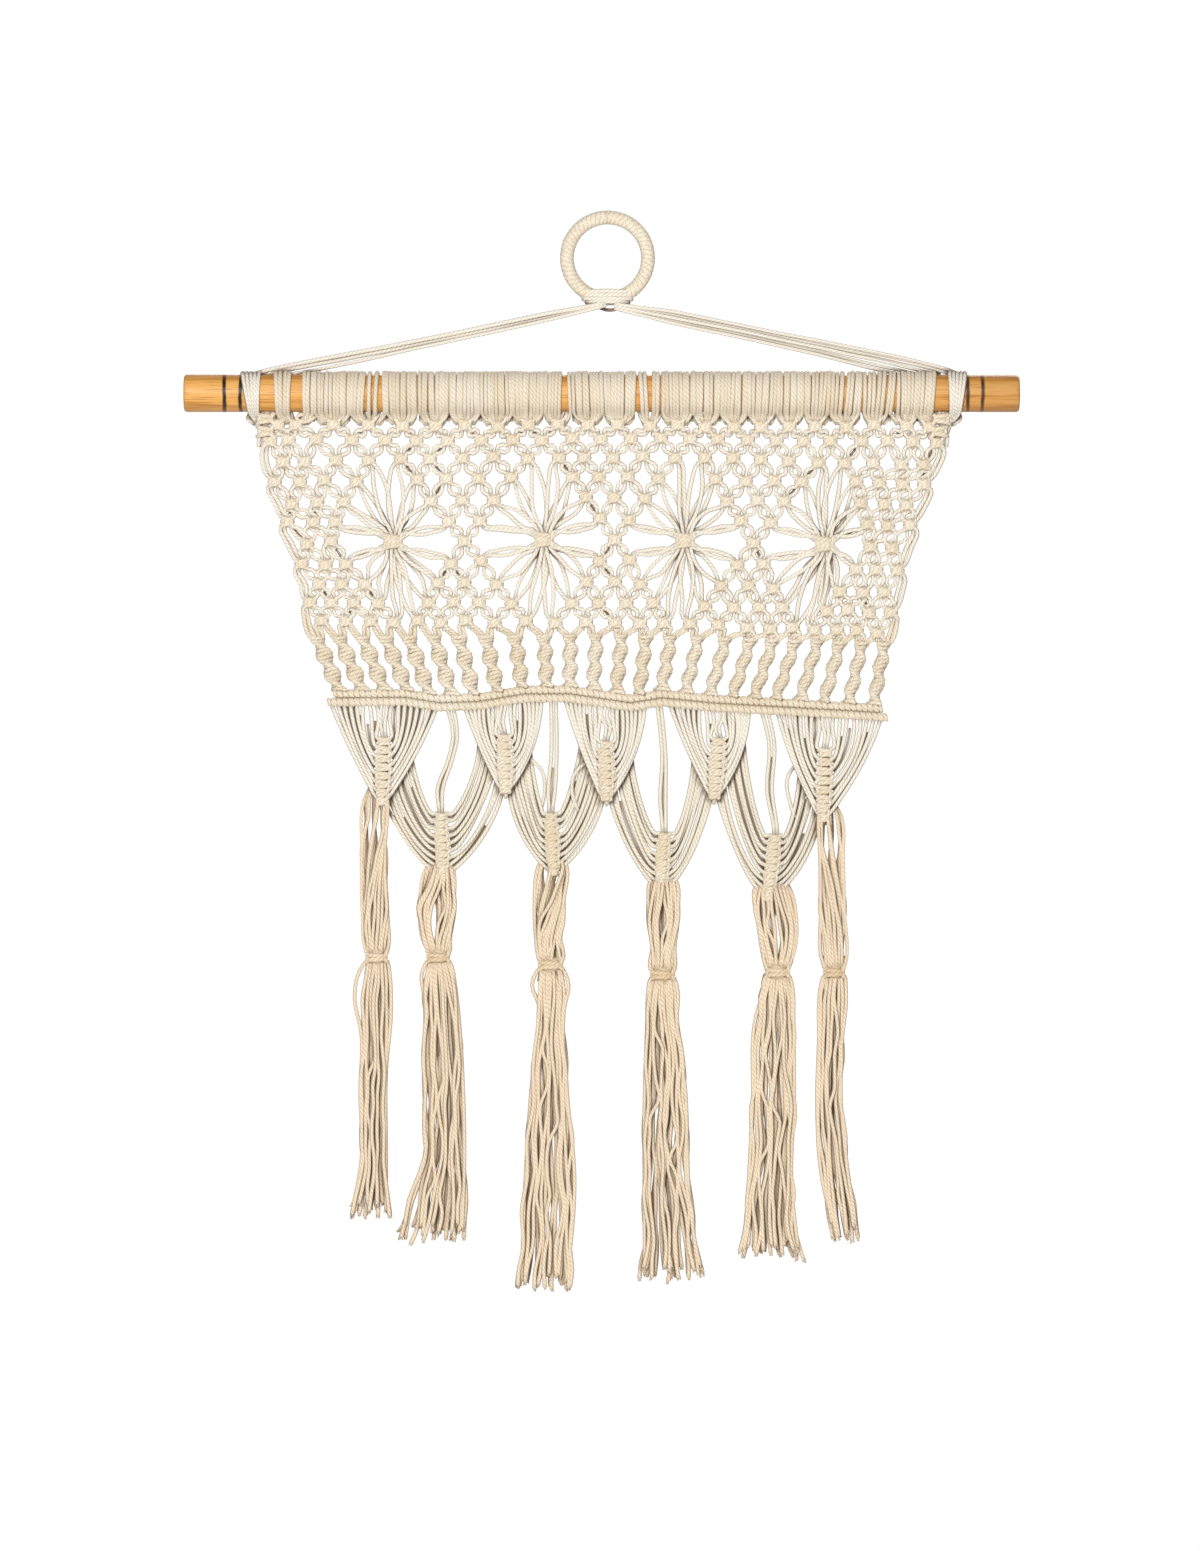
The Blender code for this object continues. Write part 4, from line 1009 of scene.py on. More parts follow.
hangers = (
    {
        "name": "hangerLeft",
        "node": "hanger_left",
        "start": (-1.0, -48.6),
        "middle": (-110.0, -71.5),
        "end": (-206.0, -89.2),
        "fan": 2.3,  # between two strands
        "radius": (1.05, 1.34, 1.34),
        "ends": (15.0, 3.5, 0.0),  # how far short of the end each strand goes down to the dowel
        "loops": (-216.6, -209.4),  # the outermost turns on the dowel, and their lean
        "lean": (2.3, -0.4),
        "count": 5,
        "towards": (-204.4, -120.0),  # where those turns run together
        "chain": ((-205.0, -117.0, 2.5), (-205.0, -124.6, 2.3)),  # place and half width of each knot
    },
    {
        "name": "hangerRight",
        "node": "hanger_right",
        "start": (4.0, -49.6),
        "middle": (110.0, -70.8),
        "end": (205.0, -89.2),
        "fan": 1.95,
        "radius": (1.05, 1.05, 1.1, 1.1, 1.1),
        "ends": (-26.0, -19.0, -11.0, -4.0, 0.0),
        "loops": (205.6, 212.6),
        "lean": (0.4, -1.8),
        "count": 5,
        "towards": (200.0, -120.0),
        "chain": ((200.0, -117.0, 2.5), (199.0, -124.6, 2.3)),
    },
)
hangerValues = {
    "steps": 13,
    "sides": 8,
    "uneven": 0.16,  # at random, in height
    "layer": 0.7,  # neighbouring strands lie that far before and behind the middle
    "loopCord": 1.34,
    "chainHalf": 4.0,  # half height of the knots under the dowel
    "chainCord": 1.5,
    "edgeCord": 1.15,  # cords that run on into the net's edge
}


def hangerStrand(plan, i):  # a sagging curve from the ring's foot to the dowel
    v = hangerValues
    (x0, z0), (x1, z1), (x2, z2) = plan["start"], plan["middle"], plan["end"]
    side = -1 if x2 < 0 else 1
    x2 += plan["ends"][i]
    place = i - (len(plan["ends"]) - 1) / 2
    points = []
    for j in range(v["steps"] + 1):
        t = j / v["steps"]
        a, b, c = (1 - t) * (1 - 2 * t), 4 * t * (1 - t), t * (2 * t - 1)
        spread = 0.35 + 0.65 * min(1.0, 6 * t) * min(1.0, 5 * (1.02 - t))
        x = a * x0 + b * x1 + c * x2
        z = a * z0 + b * z1 + c * z2 + place * plan["fan"] * spread + shake(v["uneven"])
        y = mix(-5.0, 0.5, min(1.0, 1.5 * t)) + (v["layer"] if i % 2 else -v["layer"]) * spread
        points.append((x, y + shake(0.15), z))
    points.append((x2 + side * 5.5, 3.0 + 0.8 * place, z2 - 0.6))
    return points


def layRingBand(basket):
    v = ringBand
    for half, z in v["rows"]:
        points = []
        for j in range(v["steps"] + 1):
            a = math.radians(mix(-v["round"], v["round"], j / v["steps"]))
            points.append((half * math.sin(a), -v["front"] * math.cos(a) + 0.4, z + shake(0.12)))
        layCord(basket, points, v["cord"], hangerValues["sides"])
    layCord(basket, v["under"], v["underCord"])


def buildHanger(plan):
    v = hangerValues
    basket = newBasket()
    side = -1 if plan["end"][0] < 0 else 1
    for i, radius in enumerate(plan["radius"]):
        layCord(basket, hangerStrand(plan, i), radius, v["sides"])
    if side < 0:
        layRingBand(basket)
    tx, tz = plan["towards"]
    for i in range(plan["count"]):
        share = i / (plan["count"] - 1)
        x, lean = mix(*plan["loops"], share), mix(*plan["lean"], share)
        layCord(basket, loopRound(x, tx, tz + shake(0.5), lean), v["loopCord"])
    for x, z, core in plan["chain"]:
        for way in squareKnot(x, z, (core, 1.9), v["chainHalf"], -side, r=v["chainCord"]):
            layCord(basket, way)
        knotHeart(basket, x, z, core + 2.4, v["chainHalf"], 0.4)
    for i in range(2):  # the outer cords that run on into the net's edge
        edge = netPoint(0 if side < 0 else netValues["runs"] - 1, 2)[0] + side * (0.4 + 2.3 * i)
        way = [
            (tx + side * 1.2 * i, -1.5, tz + 3),
            (tx + side * (0.5 + 1.6 * i), -1, tz - 4),
            (mix(tx, edge, 0.5) + side * (0.8 + 1.5 * i), -0.6, tz - 9),
            (edge, 0, -134.0),
        ]
        layCord(basket, way, v["edgeCord"])
    makePiece(plan["name"], basket, creamCord, [plan["node"]])


for plan in hangers:
    buildHanger(plan)
print("hangers made")


# double bar of clove hitches


def buildBar():
    v = barValues
    basket = newBasket(dense=True)
    cords = netValues["runs"] * 2
    shares = [i / v["carrierSteps"] for i in range(v["carrierSteps"] + 1)]
    left, right = v["upperEnds"]
    middle = [mix(left + v["fillIn"], right - v["fillIn"], t) for t in shares]
    layCord(basket, [(x, v["fillBehind"], barZ(x)) for x in middle], v["fillCord"])
    for level, (left, right) in ((0.5, v["upperEnds"]), (-0.5, v["lowerEnds"])):
        carrier = [mix(left - v["beyond"], right + v["beyond"], t) for t in shares]
        layCord(basket, [(x, 0, barZ(x) + level * v["height"]) for x in carrier], v["carrier"])
        pitch = (right - left) / cords
        for i in range(cords):
            x = left + (i + 0.5) * pitch
            points = []
            for j in range(v["wrapSteps"] + 1):
                t = j / v["wrapSteps"]
                a = 3 * math.pi * t
                px = x + (t - 0.5) * pitch * v["wrapLean"]
                z = barZ(px) + level * v["height"]
                points.append((px, -v["wrap"] * math.sin(a) + shake(0.05), z + v["wrap"] * math.cos(a)))
            layCord(basket, points, v["wrapCord"])
    makePiece("cloveHitchBars", basket, creamCord, ["double_bar"])


buildBar()
print("bars made")


# square knot columns with their swags

swagValues = {
    "upperKnots": 8,
    "lowerKnots": 9,
    "widthAt": (0, 0.2, 0.6, 1),  # down a column
    "coreWidth": (0.7, 1.3, 1.7, 0.8),  # half width of the bundle inside the knots
    "coreDepth": (1.0, 1.3, 1.7, 1.4),
    "upperWider": 0.9,  # added to the bundle's half width, most near the middle of a column
    "lowerWider": 0.4,
    "tall": 1.1,  # a knot's share of its pitch, so that each meets the next
    "heartWider": 1.9,
    "heartRound": 1.15,
    "heart": (1.5, 2.1, 2.4, 2.2, 1.0),  # radius of the bundle down the column
    "layer": 1.9,  # how far back the cords painted in shade lie, between two others
    "shadow": 0.8,  # and their radius
    "shadowShare": 0.72,  # share of the places between two cords that get a cord behind, painted in shade
    "behind": 4.9,  # how far behind the upper columns the lower cords begin
    "aside": 1.8,  # and how far beside them: the lowest cord, and each further one
    "asideStep": 1.65,
    "cord": 1.3,
    "lowerCord": (1.22, 1.36),  # radius, at random
    "strayCord": 1.15,
    "apart": 1.5,
    "apartFrom": 6,  # the lowest cords of a lower swag lie that far apart
    "under": 5.0,  # from the bars' middle down to where the cords begin
    "leadAt": (0.0, 0.3, 0.6),
    "leadStray": 1.76,  # how far the two cords that come straight down may wander
    "curlAt": (0, 3),  # the top cords of an upper swag hang inwards, those below outwards
    "curl": (-3.0, 2.2),
    "bendsAt": (0, 0.14, 0.3, 0.5, 0.7, 0.86),
    "lowerBendsAt": (0, 0.16, 0.34, 0.52, 0.7, 0.86),
}
upperSwags = (  # bulge: how far each side's outermost cord hangs out of the straight line
    {"left": -167.0, "right": -101.5, "top": (-134.0, -308.0), "foot": (-135.5, -349.0), "bulge": (0.8, 1.8)},
    {"left": -86.5, "right": -38.5, "top": (-62.0, -306.5), "foot": (-61.0, -341.5), "bulge": (0.8, 5.5)},
    {"left": -26.5, "right": 23.5, "top": (-1.0, -310.5), "foot": (-0.5, -346.0), "bulge": (0.8, 5.0)},
    {"left": 36.5, "right": 86.0, "top": (67.0, -308.5), "foot": (64.0, -345.0), "bulge": (1.2, 4.5)},
    {"left": 101.0, "right": 165.0, "top": (130.5, -314.5), "foot": (129.5, -359.0), "bulge": (2.4, 3.6)},
)
lowerSwags = (  # thread and below: the free pair's way from the bar to the column
    {"thread": -94.0, "below": ((-91.5, -308), (-94, -321), (-101, -340)),
     "top": (-100.0, -353.5), "foot": (-98.5, -393.5)},
    {"thread": -32.5, "below": ((-32.5, -320), (-33.5, -340)),
     "top": (-34.0, -353.5), "foot": (-32.0, -391.0)},
    {"thread": 31.0, "below": ((34, -322), (33.5, -345)),
     "top": (34.0, -365.5), "foot": (32.5, -401.5)},
    {"thread": 94.0, "below": ((98.5, -311), (97.5, -340)),
     "top": (101.0, -366.5), "foot": (96.5, -406.0)},
)
strayLoops = {  # cords that hang out of a lower swag
    2: (
        (
            (-49.0, 4.6, -318.0), (-44.5, 3.0, -322.5), (-39.6, 1.5, -327.6),
            (-37.6, 1.2, -339.0), (-40.2, 2.4, -352.0),
        ),
        (
            (-10.5, 4.6, -322.0), (-15.5, 3.0, -325.0), (-20.4, 1.5, -331.0),
            (-21.3, 1.2, -341.0), (-17.6, 2.6, -352.0),
        ),
    ),
    4: (
        (
            (114.5, 4.6, -324.0), (110.5, 2.6, -327.5), (107.6, 1.4, -334.0),
            (109.0, 1.8, -345.0), (112.5, 3.0, -356.0),
        ),
    ),
}


def columnKnots(plan, count, wider):
    (x0, z0), (x1, z1) = plan["top"], plan["foot"]
    half = (z0 - z1) / count / 2
    out = []
    for i in range(count):
        t = (i + 0.5) / count
        core = [along(t, swagValues["widthAt"], swagValues[size]) for size in ("coreWidth", "coreDepth")]
        core[0] += wider * math.sin(math.pi * (0.15 + 0.85 * t))
        out.append((mix(x0, x1, t) + shake(0.4), mix(z0, z1, t), core, half))
    return out


def columnKnot(basket, x, z, core, half):  # returns the ways of its left and its right cord
    v = swagValues
    knotHeart(basket, x, z, core[0] + v["heartWider"], half * v["heartRound"])
    return squareKnot(x, z, core, half * v["tall"])


def tuckedEnd(way, middle):  # after its knot a cord goes in behind the column
    x, y, z, r = way[-1]
    return way[:-1] + [(mix(x, middle, 0.45), 0.9, z + 0.6, r), (mix(x, middle, 0.85), 2.4, z - 0.9, r)]


def shadeCordsBehind(basket, courses):
    # between two cords of a swag lies a thin cord behind, painted in shade, so that the gap shows as a dark
    # line
    for upper, lower in zip(courses, courses[1:]):
        if dice.random() > swagValues["shadowShare"]:
            continue
        start = dice.choice((0.0, 0.0, 0.2, 0.4))
        points = [mix(np.array(a[:3]), np.array(b[:3]), 0.5) for a, b in zip(upper, lower)]
        points = points[int(start * len(points)) :]
        layCord(basket, [point + (0, swagValues["layer"], 0) for point in points], swagValues["shadow"])


def columnCore(basket, plan, lead):
    (x0, z0), (x1, z1) = plan["top"], plan["foot"]
    for side in (-1, 1):
        points = [(x + side * 1.5 + shake(0.6), shake(0.3), z) for x, z in lead]
        points += [(x0 + side * 0.9, 0, z0 + 0.5), (x0 + side * 0.9, 0, z0 - 4)]
        points += [(x1 + side * 1.1, 0, z1 + 4), (x1 + side * 1.2, 0, z1)]
        layCord(basket, points)
    if "thread" in plan:  # the pair closes up lower down; a thin cord behind it, painted in shade, darkens between its cords
        (xa, za), (xb, zb) = lead[-2:]
        layCord(basket, [(mix(xa, xb, 0.3), 1.5, mix(za, zb, 0.3)), (xb, 1.5, zb), (x0, 1.4, z0)], 0.7)
    bundle = [(x0, 0.1, z0 - 4), (mix(x0, x1, 0.5), 0.1, mix(z0, z1, 0.5))]
    bundle += [(x1, 0.1, z1), (x1, 2.4, z1 - 3.0)]
    layCord(basket, bundle, swagValues["heart"], 8)


def buildUpperSwag(number, plan):
    # cords gather from the bar to a column of square knots: the top ones hang and hook in,
    # the lowest ones run straight
    v = swagValues
    basket = newBasket()
    topX = plan["top"][0]
    topZ = barZ(topX) - v["under"]
    lead = []
    for t in v["leadAt"]:
        lead.append((topX + shake(v["leadStray"] if t else 0.0), mix(topZ + 1.5, plan["top"][1], t)))
    columnCore(basket, plan, lead)
    count = v["upperKnots"]
    courses = {-1: [], 1: []}
    for i, (kx, kz, core, half) in enumerate(columnKnots(plan, count, v["upperWider"])):
        ways = columnKnot(basket, kx, kz, core, half)
        outer = i / (count - 1)
        curl = along(i, v["curlAt"], v["curl"])
        for side, way in zip((-1, 1), ways):
            edge = plan["left"] if side < 0 else plan["right"]
            bulge = plan["bulge"][0 if side < 0 else 1]
            x = mix(topX + side * 2.2, edge - side * 1.1, (i + 0.7) / (count - 0.3))
            z = barZ(x) - v["under"]
            end = way[0]
            drop = z - end[2]
            start = (x, 0.3, z + 1.6)
            bend = mix(x + side * curl, mix(x, end[0], 0.33) + side * bulge, outer)
            level = mix(z - 0.55 * drop, z - 0.36 * drop, outer)
            down = (bend + shake(2.2 - 1.8 * outer), shake(0.6), level)
            bend = mix(end[0] + side * 3.4, mix(x, end[0], 0.74) + side * bulge, outer)
            level = end[2] + mix(2.0, 0.26 * drop, outer)
            near = (bend + shake(0.8), 0.9 if i % 2 else -0.9, level)
            points = [bezier(t, start, down, near, end) for t in v["bendsAt"]]
            layCord(basket, sized(points, v["cord"]) + tuckedEnd(way, kx))
            courses[side].append(points + [end])
    for side in (-1, 1):
        shadeCordsBehind(basket, courses[side])
    makePiece(f"upperSwag{number}", basket, creamCord, [f"upper_swag_{number}"])


def buildLowerSwag(number, plan):
    # its cords come from behind the two upper columns beside it
    v = swagValues
    basket = newBasket()
    lead = [(plan["thread"], barZ(plan["thread"]) - v["under"] + 1.5), *plan["below"]]
    columnCore(basket, plan, lead)
    count = v["lowerKnots"]
    courses = {-1: [], 1: []}
    for i, (kx, kz, core, half) in enumerate(columnKnots(plan, count, v["lowerWider"])):
        ways = columnKnot(basket, kx, kz, core, half)
        low = i / (count - 1)
        share = (i + 0.4) / count
        aside = v["aside"] + (count - 1 - i) * v["asideStep"]
        apart = v["apart"] if i >= v["apartFrom"] else 0.0
        for side, way in zip((-1, 1), ways):
            upper = upperSwags[number - 1] if side < 0 else upperSwags[number]
            x = mix(upper["top"][0], upper["foot"][0], share) - side * aside
            z = mix(upper["top"][1], upper["foot"][1], share) - 1.0
            end = way[0]
            start = (x, v["behind"], z)
            down = (
                mix(x, end[0], mix(0.08, 0.3, low)) + shake(2.6) + side * apart,
                v["behind"] + 0.3,
                mix(z, end[2], 0.45) + shake(2.0) - apart,
            )
            near = (
                mix(x, end[0], 0.72) + shake(1.2) + side * 0.6 * apart,
                2.0 if i % 2 else -0.4,
                mix(z, end[2], mix(1.1, 0.88, low)) + shake(1.6),
            )
            points = [bezier(t, start, down, near, end) for t in v["lowerBendsAt"]]
            layCord(basket, sized(points, dice.uniform(*v["lowerCord"])) + tuckedEnd(way, kx))
            courses[side].append(points + [end])
    for side in (-1, 1):
        shadeCordsBehind(basket, courses[side])
    for stray in strayLoops.get(number, ()):
        layCord(basket, stray, v["strayCord"])
    makePiece(f"lowerSwag{number}", basket, lowerSwagShadedCord, [f"lower_swag_{number}"])


for number, plan in enumerate(upperSwags, 1):
    buildUpperSwag(number, plan)
for number, plan in enumerate(lowerSwags, 1):
    buildLowerSwag(number, plan)
print("swags made")


# tassels

tasselValues = {
    "rowApart": 2.5,  # from the middle row of strands to the front and the back one
    "ragged": 11.0,  # how much the cut ends differ in height
    "outerShorter": 2.0,  # the front and the back row end that much higher
    "wander": 0.11,  # share of the half width by which a strand strays
    "wanderAll": 0.07,  # and by which all of them do together
    "kink": 0.42,  # at each bend, at random
    "splay": 0.16,  # how far the cut ends spread or close up
    "crossing": 0.24,  # share of the strands that cross their neighbours
    "crossAcross": 0.5,
    "crossOver": 60,  # mm of strand that a crossing takes
    "partings": 7,  # gaps between the strands of the front row
    "partWidth": 0.2,
    "tied": 25,  # from the tie to where a strand moves freely
    "twistAbove": 6,  # the twist begins that far above the tie
    "knotHalf": 3.0,
    "knotDeep": 4.3,
    "knotCord": 1.5,
    "step": 11.0,  # mm between two bends of a strand
    "hairs": 4,
    "hairLength": 2.0,  # of the loose fibres at a cut end
    "hair": (0.55, 0.5, 0.4),
}
tassels = (  # loops: side and reach of the two tie cords; drops: top to ends; along: middle line there
    {
        "count": 21, "root": -136.0, "knot": -440, "sweep": 1.75, "part": None,
        "loops": ((-1, 6.5, 26), (1, 2.0, 40)),
        "bunches": (-0.75, -0.2, 0.7),
        "drops": (-346, -376, -415, -440, -460, -520, -562, -598),
        "along": (-139, -140.5, -139.5, -138.5, -139, -140.5, -140, -142.5),
        "half": (8.0, 7.8, 8.4, 6.0, 8.2, 8.2, 8.0, 12.5),
    },
    {
        "count": 31, "root": -98.5, "knot": -440, "sweep": 0.45, "part": -0.15, "open": 0.3,
        "loops": ((-1, 3.2, 9), (1, 2.6, 12)),
        "bunches": (-0.8, -0.45, 0.15, 0.6, 1.0),
        "drops": (-388, -409, -430, -440, -466, -514, -556, -612),
        "along": (-101, -102.5, -102.5, -101.5, -100.5, -98.5, -97.5, -105.5),
        "half": (9.5, 11.0, 9.0, 6.3, 11.0, 12.4, 12.4, 21),
    },
    {
        "count": 31, "root": -32.0, "knot": -444.5, "sweep": 1.5, "part": None,
        "loops": ((-1, 3.8, 10), (1, 3.2, 11)),
        "bunches": (-0.8, -0.35, 0.1, 0.75),
        "drops": (-386, -406, -430, -444.5, -466, -520, -574, -641),
        "along": (-33, -35, -35.5, -34, -33.5, -35, -34.5, -38),
        "half": (9.6, 9.6, 8.2, 6.8, 8.4, 11.4, 15.4, 16),
    },
    {
        "count": 31, "root": 32.5, "knot": -450.5, "sweep": 0.3, "part": -0.3, "open": 0.16,
        "loops": ((-1, 1.4, 12), (1, 1.8, 10)),
        "bunches": (-0.9, -0.5, 0.1, 0.8),
        "drops": (-396, -412, -436, -450.5, -466, -520, -580, -636),
        "along": (33.5, 33.5, 33.5, 33, 32.5, 34.5, 35.5, 38.5),
        "half": (9.4, 9.6, 7.6, 6.8, 9.2, 13.0, 14.2, 19),
    },
    {
        "count": 31, "root": 96.5, "knot": -449, "sweep": -0.2, "part": 0.1, "open": 0.2,
        "loops": ((-1, 1.8, 12), (1, 2.0, 12)),
        "bunches": (-0.85, -0.3, 0.25, 0.8),
        "drops": (-400, -415, -436, -449, -466, -526, -574, -622),
        "along": (99, 101.5, 102.5, 102, 100.5, 99.5, 97.5, 98),
        "half": (11.5, 12.6, 10.6, 6.7, 11.8, 13.2, 13.6, 19),
    },
    {
        "count": 21, "root": 130.0, "knot": -449, "sweep": -1.75, "part": None,
        "loops": ((-1, 2.6, 20), (1, 0.6, 20)),
        "bunches": (-0.6, 0.1, 0.8),
        "drops": (-356, -382, -412, -449, -466, -526, -574, -611),
        "along": (133.5, 134.5, 135, 136, 134.5, 133, 137, 143),
        "half": (7.8, 7.8, 8.0, 5.8, 7.8, 8.0, 8.8, 9.5),
    },
)


def tasselAt(plan, z):  # its middle line and its half width at a height
    falls = [-drop for drop in plan["drops"]]
    return along(-z, falls, plan["along"]), along(-z, falls, plan["half"])


def fray(basket, end, before):  # loose fibres where a cord is cut
    v = tasselValues
    x, y, z = end
    lean = (end[0] - before[0]) * 0.08
    for _ in range(v["hairs"]):
        a = dice.uniform(0, 2 * math.pi)
        reach = dice.uniform(0.5, 1.0)
        hang = dice.uniform(0.4, 1.0) * v["hairLength"]
        sx, sy = math.cos(a) * reach, math.sin(a) * reach
        points = [
            (x + sx * 0.6, y + sy * 0.6, z + 1.6),
            (x + sx + lean, y + sy, z - hang * 0.4),
            (x + sx * dice.uniform(1.1, 1.8) + lean * 2, y + sy * dice.uniform(1.0, 1.6), z - hang),
        ]
        layCord(basket, points, v["hair"], 4)


def drawPartings(plan):  # lens-shaped gaps between the strands of the front row
    v = tasselValues
    top, foot, knotZ = plan["drops"][0], plan["drops"][-1], plan["knot"]
    out = []
    for i in range(v["partings"]):
        share = dice.uniform(-0.7, 0.7)
        level = mix(knotZ - 26, foot + 30, (i + dice.random()) / v["partings"])
        out.append((share, level, dice.uniform(9, 17)))
    out.append((dice.uniform(-0.5, 0.5), mix(knotZ, top, 0.5), 9.0))
    return out


def strandPoints(plan, k, partings, shared):
    # a share of -1 is the tassel's left edge and 1 its right one, a row of -1 its front and 1 its back
    v = tasselValues
    top, foot, knotZ, count = plan["drops"][0], plan["drops"][-1], plan["knot"], plan["count"]
    row = k % 3 - 1
    inRow = math.ceil((count - k % 3) / 3)
    home = mix(-1, 1, (k // 3 + 0.5) / inRow)
    home = max(-1.0, min(1.0, home * inRow / (inRow - (0.85 if row else 0.4))))
    end = foot + dice.uniform(0, v["ragged"]) + (v["outerShorter"] if row else 0.0)
    swingLong, swingFrom = dice.uniform(45, 120), dice.uniform(0, 6.28)
    swing = dice.uniform(0.3, 1.0) * v["wander"]
    crosses = shake(v["crossAcross"]) if dice.random() < v["crossing"] else 0.0
    crossAt = mix(knotZ - 30, foot + 40, dice.random())
    steps = math.ceil((top - end) / v["step"])
    heights = [mix(top, end, i / steps) for i in range(steps + 1)]
    heights = [knotZ if abs(z - knotZ) < v["step"] / 2 else z for z in heights]
    bunch = min(plan["bunches"], key=lambda b: abs(b - home))
    splay = shake(v["splay"])
    points = []
    for z in heights:
        middle, half = tasselAt(plan, z)
        half *= 1 + 0.06 * math.sin(6.28 * z / 43 + shared[1])
        free = min(1.0, abs(z - knotZ) / v["tied"])  # strands are pressed together at the tie
        own = swing * math.sin(6.28 * z / swingLong + swingFrom)
        share = home + free * (own + v["wanderAll"] * math.sin(6.28 * z / shared[0] + shared[1]))
        depth = row
        if z < knotZ:
            share += crosses * max(0.0, min(1.0, 0.5 + (crossAt - z) / v["crossOver"]))
        else:  # above the tie the whole tassel is twisted
            turn = max(0.0, (z - knotZ - v["twistAbove"]) / (top - knotZ - v["twistAbove"]))
            turn = plan["sweep"] * turn * turn * (3 - 2 * turn)
            cos, sin = math.cos(turn), math.sin(turn)
            share, depth = share * cos - 0.8 * row * sin, share * sin + row * cos
            if plan["part"] is not None:
                side = 1 if home > plan["part"] else -1
                share += side * plan["open"] * math.sin(math.pi * min(1.0, (z - knotZ) / (top - knotZ))) ** 2
        if row < 0:
            for place, level, tall in partings:
                away = share - place
                fade = math.exp(-(((z - level) / tall) ** 2) - (away / v["partWidth"]) ** 2)
                share += v["partWidth"] * math.copysign(1, away) * fade
        low = max(0.0, min(1.0, (foot + 60 - z) / 60)) ** 2  # towards their ends strands bunch up
        share = mix(share, bunch + (share - bunch) * 0.6, low * 0.8) + splay * low
        share = max(-1.03, min(1.03, share))
        x = middle + share * (half - cordStyle["radius"])
        y = depth * v["rowApart"] * (1 - 0.45 * share * share)
        y -= (1.2 if crosses and row < 0 else 0.0) * free
        points.append((x + shake(v["kink"]), y + shake(v["kink"]), z))
    x, _, z = points[0]
    points.insert(0, (mix(x, plan["along"][0], 0.35), 4.4, z + 7))
    points.insert(0, (mix(x, plan["root"], 0.8), 4.6, z + 18))
    return points


def layTie(basket, plan):
    # a square knot round the strands, and how its two cords come down to it and hang on below
    v = tasselValues
    r, drops, knotZ = cordStyle["radius"], plan["drops"], plan["knot"]
    kx, half = tasselAt(plan, knotZ)
    collar = half - 1.4
    core = [(kx, 0, knotZ + rise) for rise in (4.4, 1.6, -1.6, -4.0)]
    layCord(basket, core, (collar * 0.8, collar, collar, collar * 0.8), 16)
    for side in (-1, 1):  # short cords beside the tie, behind its two cords and painted in shade, show as dark spots there
        for way in (-1, 1):
            near = (kx + side * (half - 0.6), 2.6, knotZ + way * 4)
            layCord(basket, [near, (kx + side * (half + 0.6), 2.8, knotZ + way * 10)], 1.0)
    ways = squareKnot(kx, knotZ, (half - 1.9, v["knotDeep"]), v["knotHalf"], 1, r=v["knotCord"])
    for (side, reach, fall), way in zip(plan["loops"], ways):
        beside = mix(plan["root"], plan["along"][0], 0.6) + side * 5
        before = [(plan["root"] + side * 1.5, 4.6, drops[0] + 16), (beside, 4.2, drops[0] + 7)]
        for z in drops[:3]:
            if z > knotZ + 8:
                middle, edge = tasselAt(plan, z)
                before.append((middle + side * (edge - 0.9), -1.0, z))
        before.append((kx + side * (half + 0.9), -1.6, knotZ + 5.6))
        rim = kx + side * (half + 0.7)
        after = [(rim, -2.0, knotZ - 3.0), (rim + side * reach * 0.55, -1.6, knotZ - 5 - fall * 0.12)]
        after.append((rim + side * reach, -1.0, knotZ - 6 - fall * 0.6))
        for z in [knotZ - 8 - fall * 1.5] + [z for z in drops if z < knotZ - 8 - fall * 2.2]:
            middle, edge = tasselAt(plan, z)
            after.append((middle + side * (edge - 1.0 + reach * 0.1), -1.2, z))
        x, y, z = after[-1]
        after[-1] = (x - side * 2, y, z + dice.uniform(2, 10))
        layCord(basket, sized(before, r) + way[1:-1] + sized(after, r))
        fray(basket, after[-1], after[-2])


def buildTassel(number, plan):
    r = cordStyle["radius"]
    basket = newBasket()
    partings = drawPartings(plan)
    shared = (dice.uniform(70, 110), dice.uniform(0, 6.28))  # the wave that all its strands follow
    for k in range(plan["count"]):
        points = strandPoints(plan, k, partings, shared)
        layCord(basket, points, [r] * 9 + [r * 1.15])
        fray(basket, points[-1], points[-2])
    layTie(basket, plan)
    makePiece(f"tassel{number}", basket, tasselShadedCord, [f"tassel_{number}"])


for number, plan in enumerate(tassels, 1):
    buildTassel(number, plan)
print("tassels made,", sum(pieceTriangles.values()), "triangles in all")


shadeCrevices()
print("crevices shaded")


# studio: pale floor, soft light, camera at the photograph's angle

studioValues = {
    "frameCentre": (-4.5, -330.9),  # the point that the camera looks at
    "frameHeight": 930.6,  # of what it sees at the dowel's depth
    "distance": 4200.0,
    "sensor": 36,
    "floor": -1150.0,
    "floorSide": 2200.0,
    "floorFront": -1600.0,  # it ends where the fill light stops
    "floorBack": 3000.0,  # its far edge stays just under the picture
    "floorLook": {"Base Color": (0.97, 0.97, 0.97, 1), "Roughness": 0.9, "Specular IOR Level": 0.1},
    "skyColour": (1.0, 0.99, 0.975, 1),
    "sky": 0.26,  # strength of the light from all round
    "seenSky": 1.05,  # and of what the camera sees behind everything
}
studioLights = (  # size and place in metres
    {"name": "key light", "power": 85.5, "size": 1.1, "place": (-0.75, -3.1, 0.55)},
    {"name": "fill light", "power": 12.0, "size": 2.2, "place": (1.8, -2.0, -0.1)},
    {"name": "back light", "power": 66.0, "size": 2.0, "place": (0.6, 2.4, 1.2)},
)


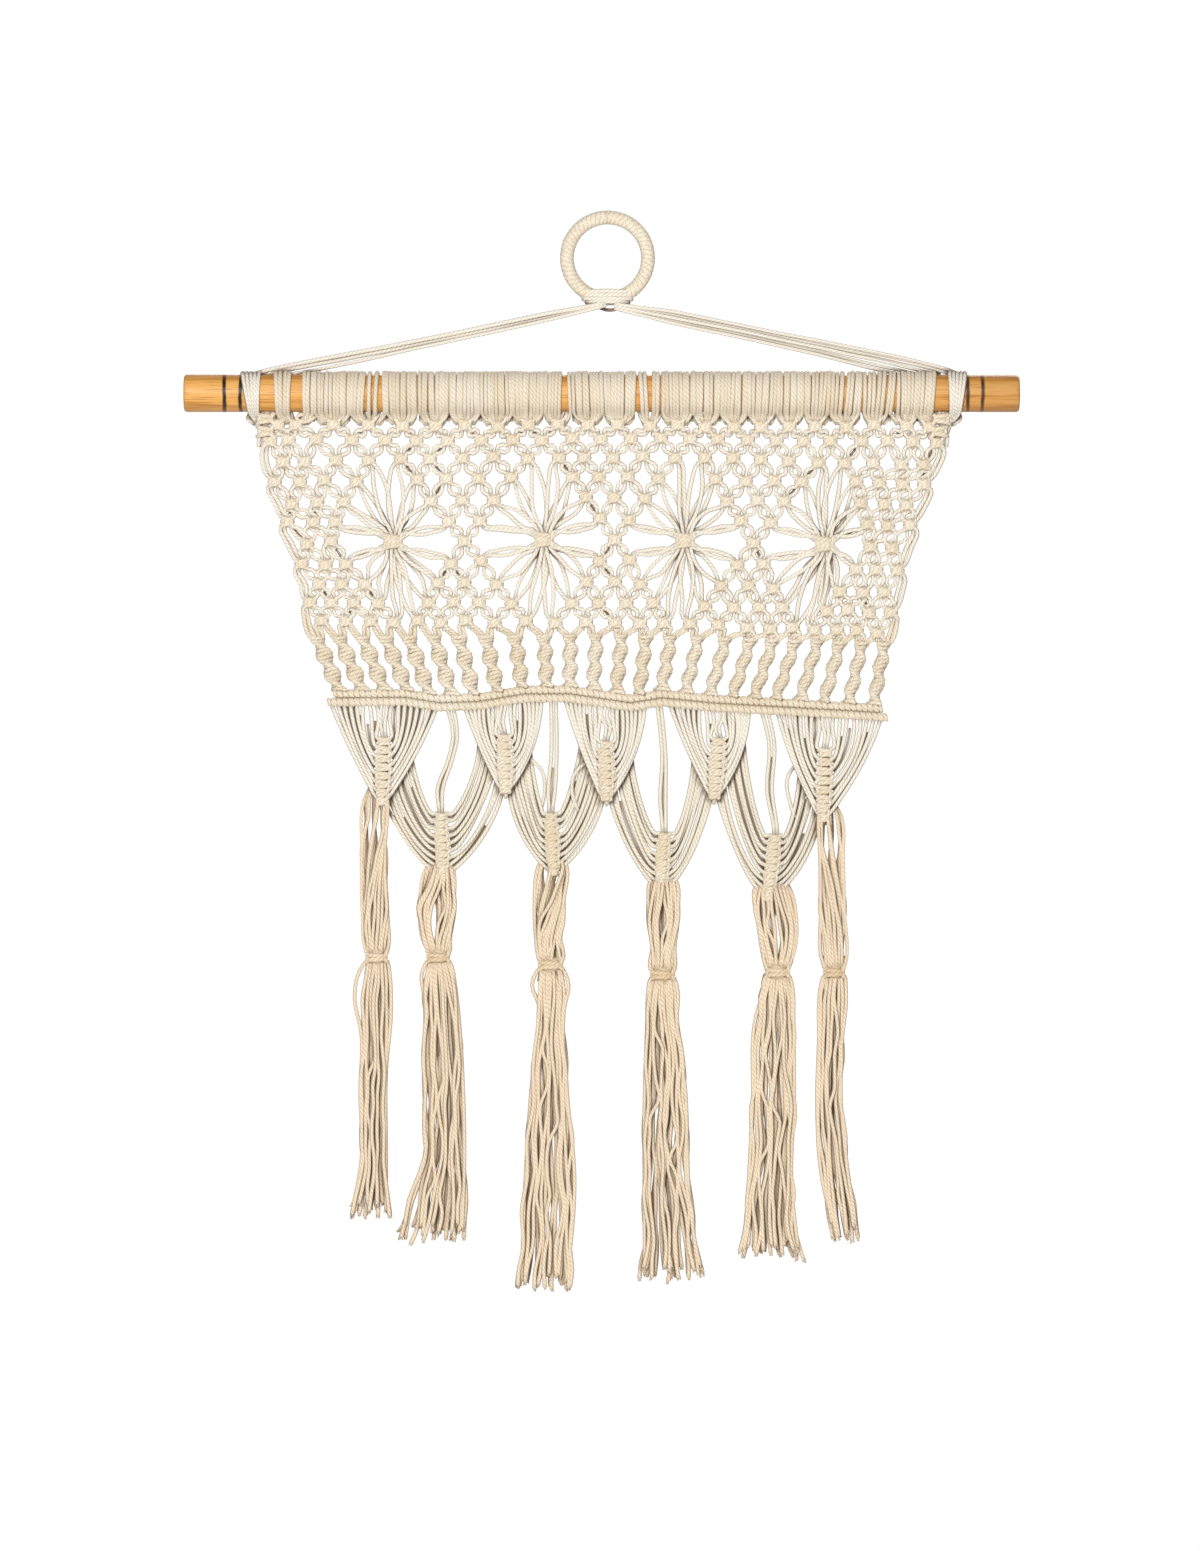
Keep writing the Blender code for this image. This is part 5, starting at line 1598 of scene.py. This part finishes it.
def areaLight(name, power, size, place, towards):
    data = bpy.data.lights.new(name, "AREA")
    data.energy = power
    data.shape = "DISK"
    data.size = size
    lamp = bpy.data.objects.new(name, data)
    bpy.context.scene.collection.objects.link(lamp)
    lamp.location = place
    aim = np.subtract(towards, place)
    aim = aim / np.linalg.norm(aim)
    lamp.rotation_euler = (math.acos(-aim[2]), 0, math.atan2(aim[1], aim[0]) - math.pi / 2)


def addCamera():
    v = studioValues
    x, z = v["frameCentre"]
    data = bpy.data.cameras.new("camera")
    data.sensor_width = v["sensor"]
    data.lens = v["sensor"] * v["distance"] / v["frameHeight"]
    data.clip_end = 100
    camera = bpy.data.objects.new("camera", data)
    bpy.context.scene.collection.objects.link(camera)
    camera.location = (x * mm, -v["distance"] * mm, z * mm)
    camera.rotation_euler = (math.pi / 2, 0, 0)
    bpy.context.scene.camera = camera


def addFloor():
    v = studioValues
    side, near, far = (v[name] * mm for name in ("floorSide", "floorFront", "floorBack"))
    corners = [(-side, near, 0), (side, near, 0), (side, far, 0), (-side, far, 0)]
    floor = bpy.data.meshes.new("floor")
    floor.from_pydata(corners, [], [(0, 1, 2, 3)])
    board = bpy.data.objects.new("floor", floor)
    board.location = (0, 0, v["floor"] * mm)
    bpy.context.scene.collection.objects.link(board)
    look, _, _ = newLook("pale matt floor", v["floorLook"])
    floor.materials.append(look)


def addSky():  # a dim sky for the light, and plain white where the camera sees it
    v = studioValues
    world = bpy.data.worlds.new("studio")
    bpy.context.scene.world = world
    world.use_nodes = True
    tree = world.node_tree
    back = tree.nodes["Background"]
    back.inputs["Color"].default_value = v["skyColour"]
    back.inputs["Strength"].default_value = v["sky"]
    seen = addNode(tree, "ShaderNodeBackground", {"Color": white, "Strength": v["seenSky"]})
    ray = addNode(tree, "ShaderNodeLightPath")
    either = {0: ray.outputs["Is Camera Ray"], 1: back.outputs[0], 2: seen.outputs[0]}
    both = addNode(tree, "ShaderNodeMixShader", links=either)
    tree.links.new(both.outputs[0], tree.nodes["World Output"].inputs["Surface"])


def buildStudio():
    x, z = studioValues["frameCentre"]
    addCamera()
    for light in studioLights:
        areaLight(**light, towards=(x * mm, 0, z * mm))
    addFloor()
    addSky()
    bpy.context.scene.view_settings.view_transform = "Standard"


buildStudio()
print("studio made")
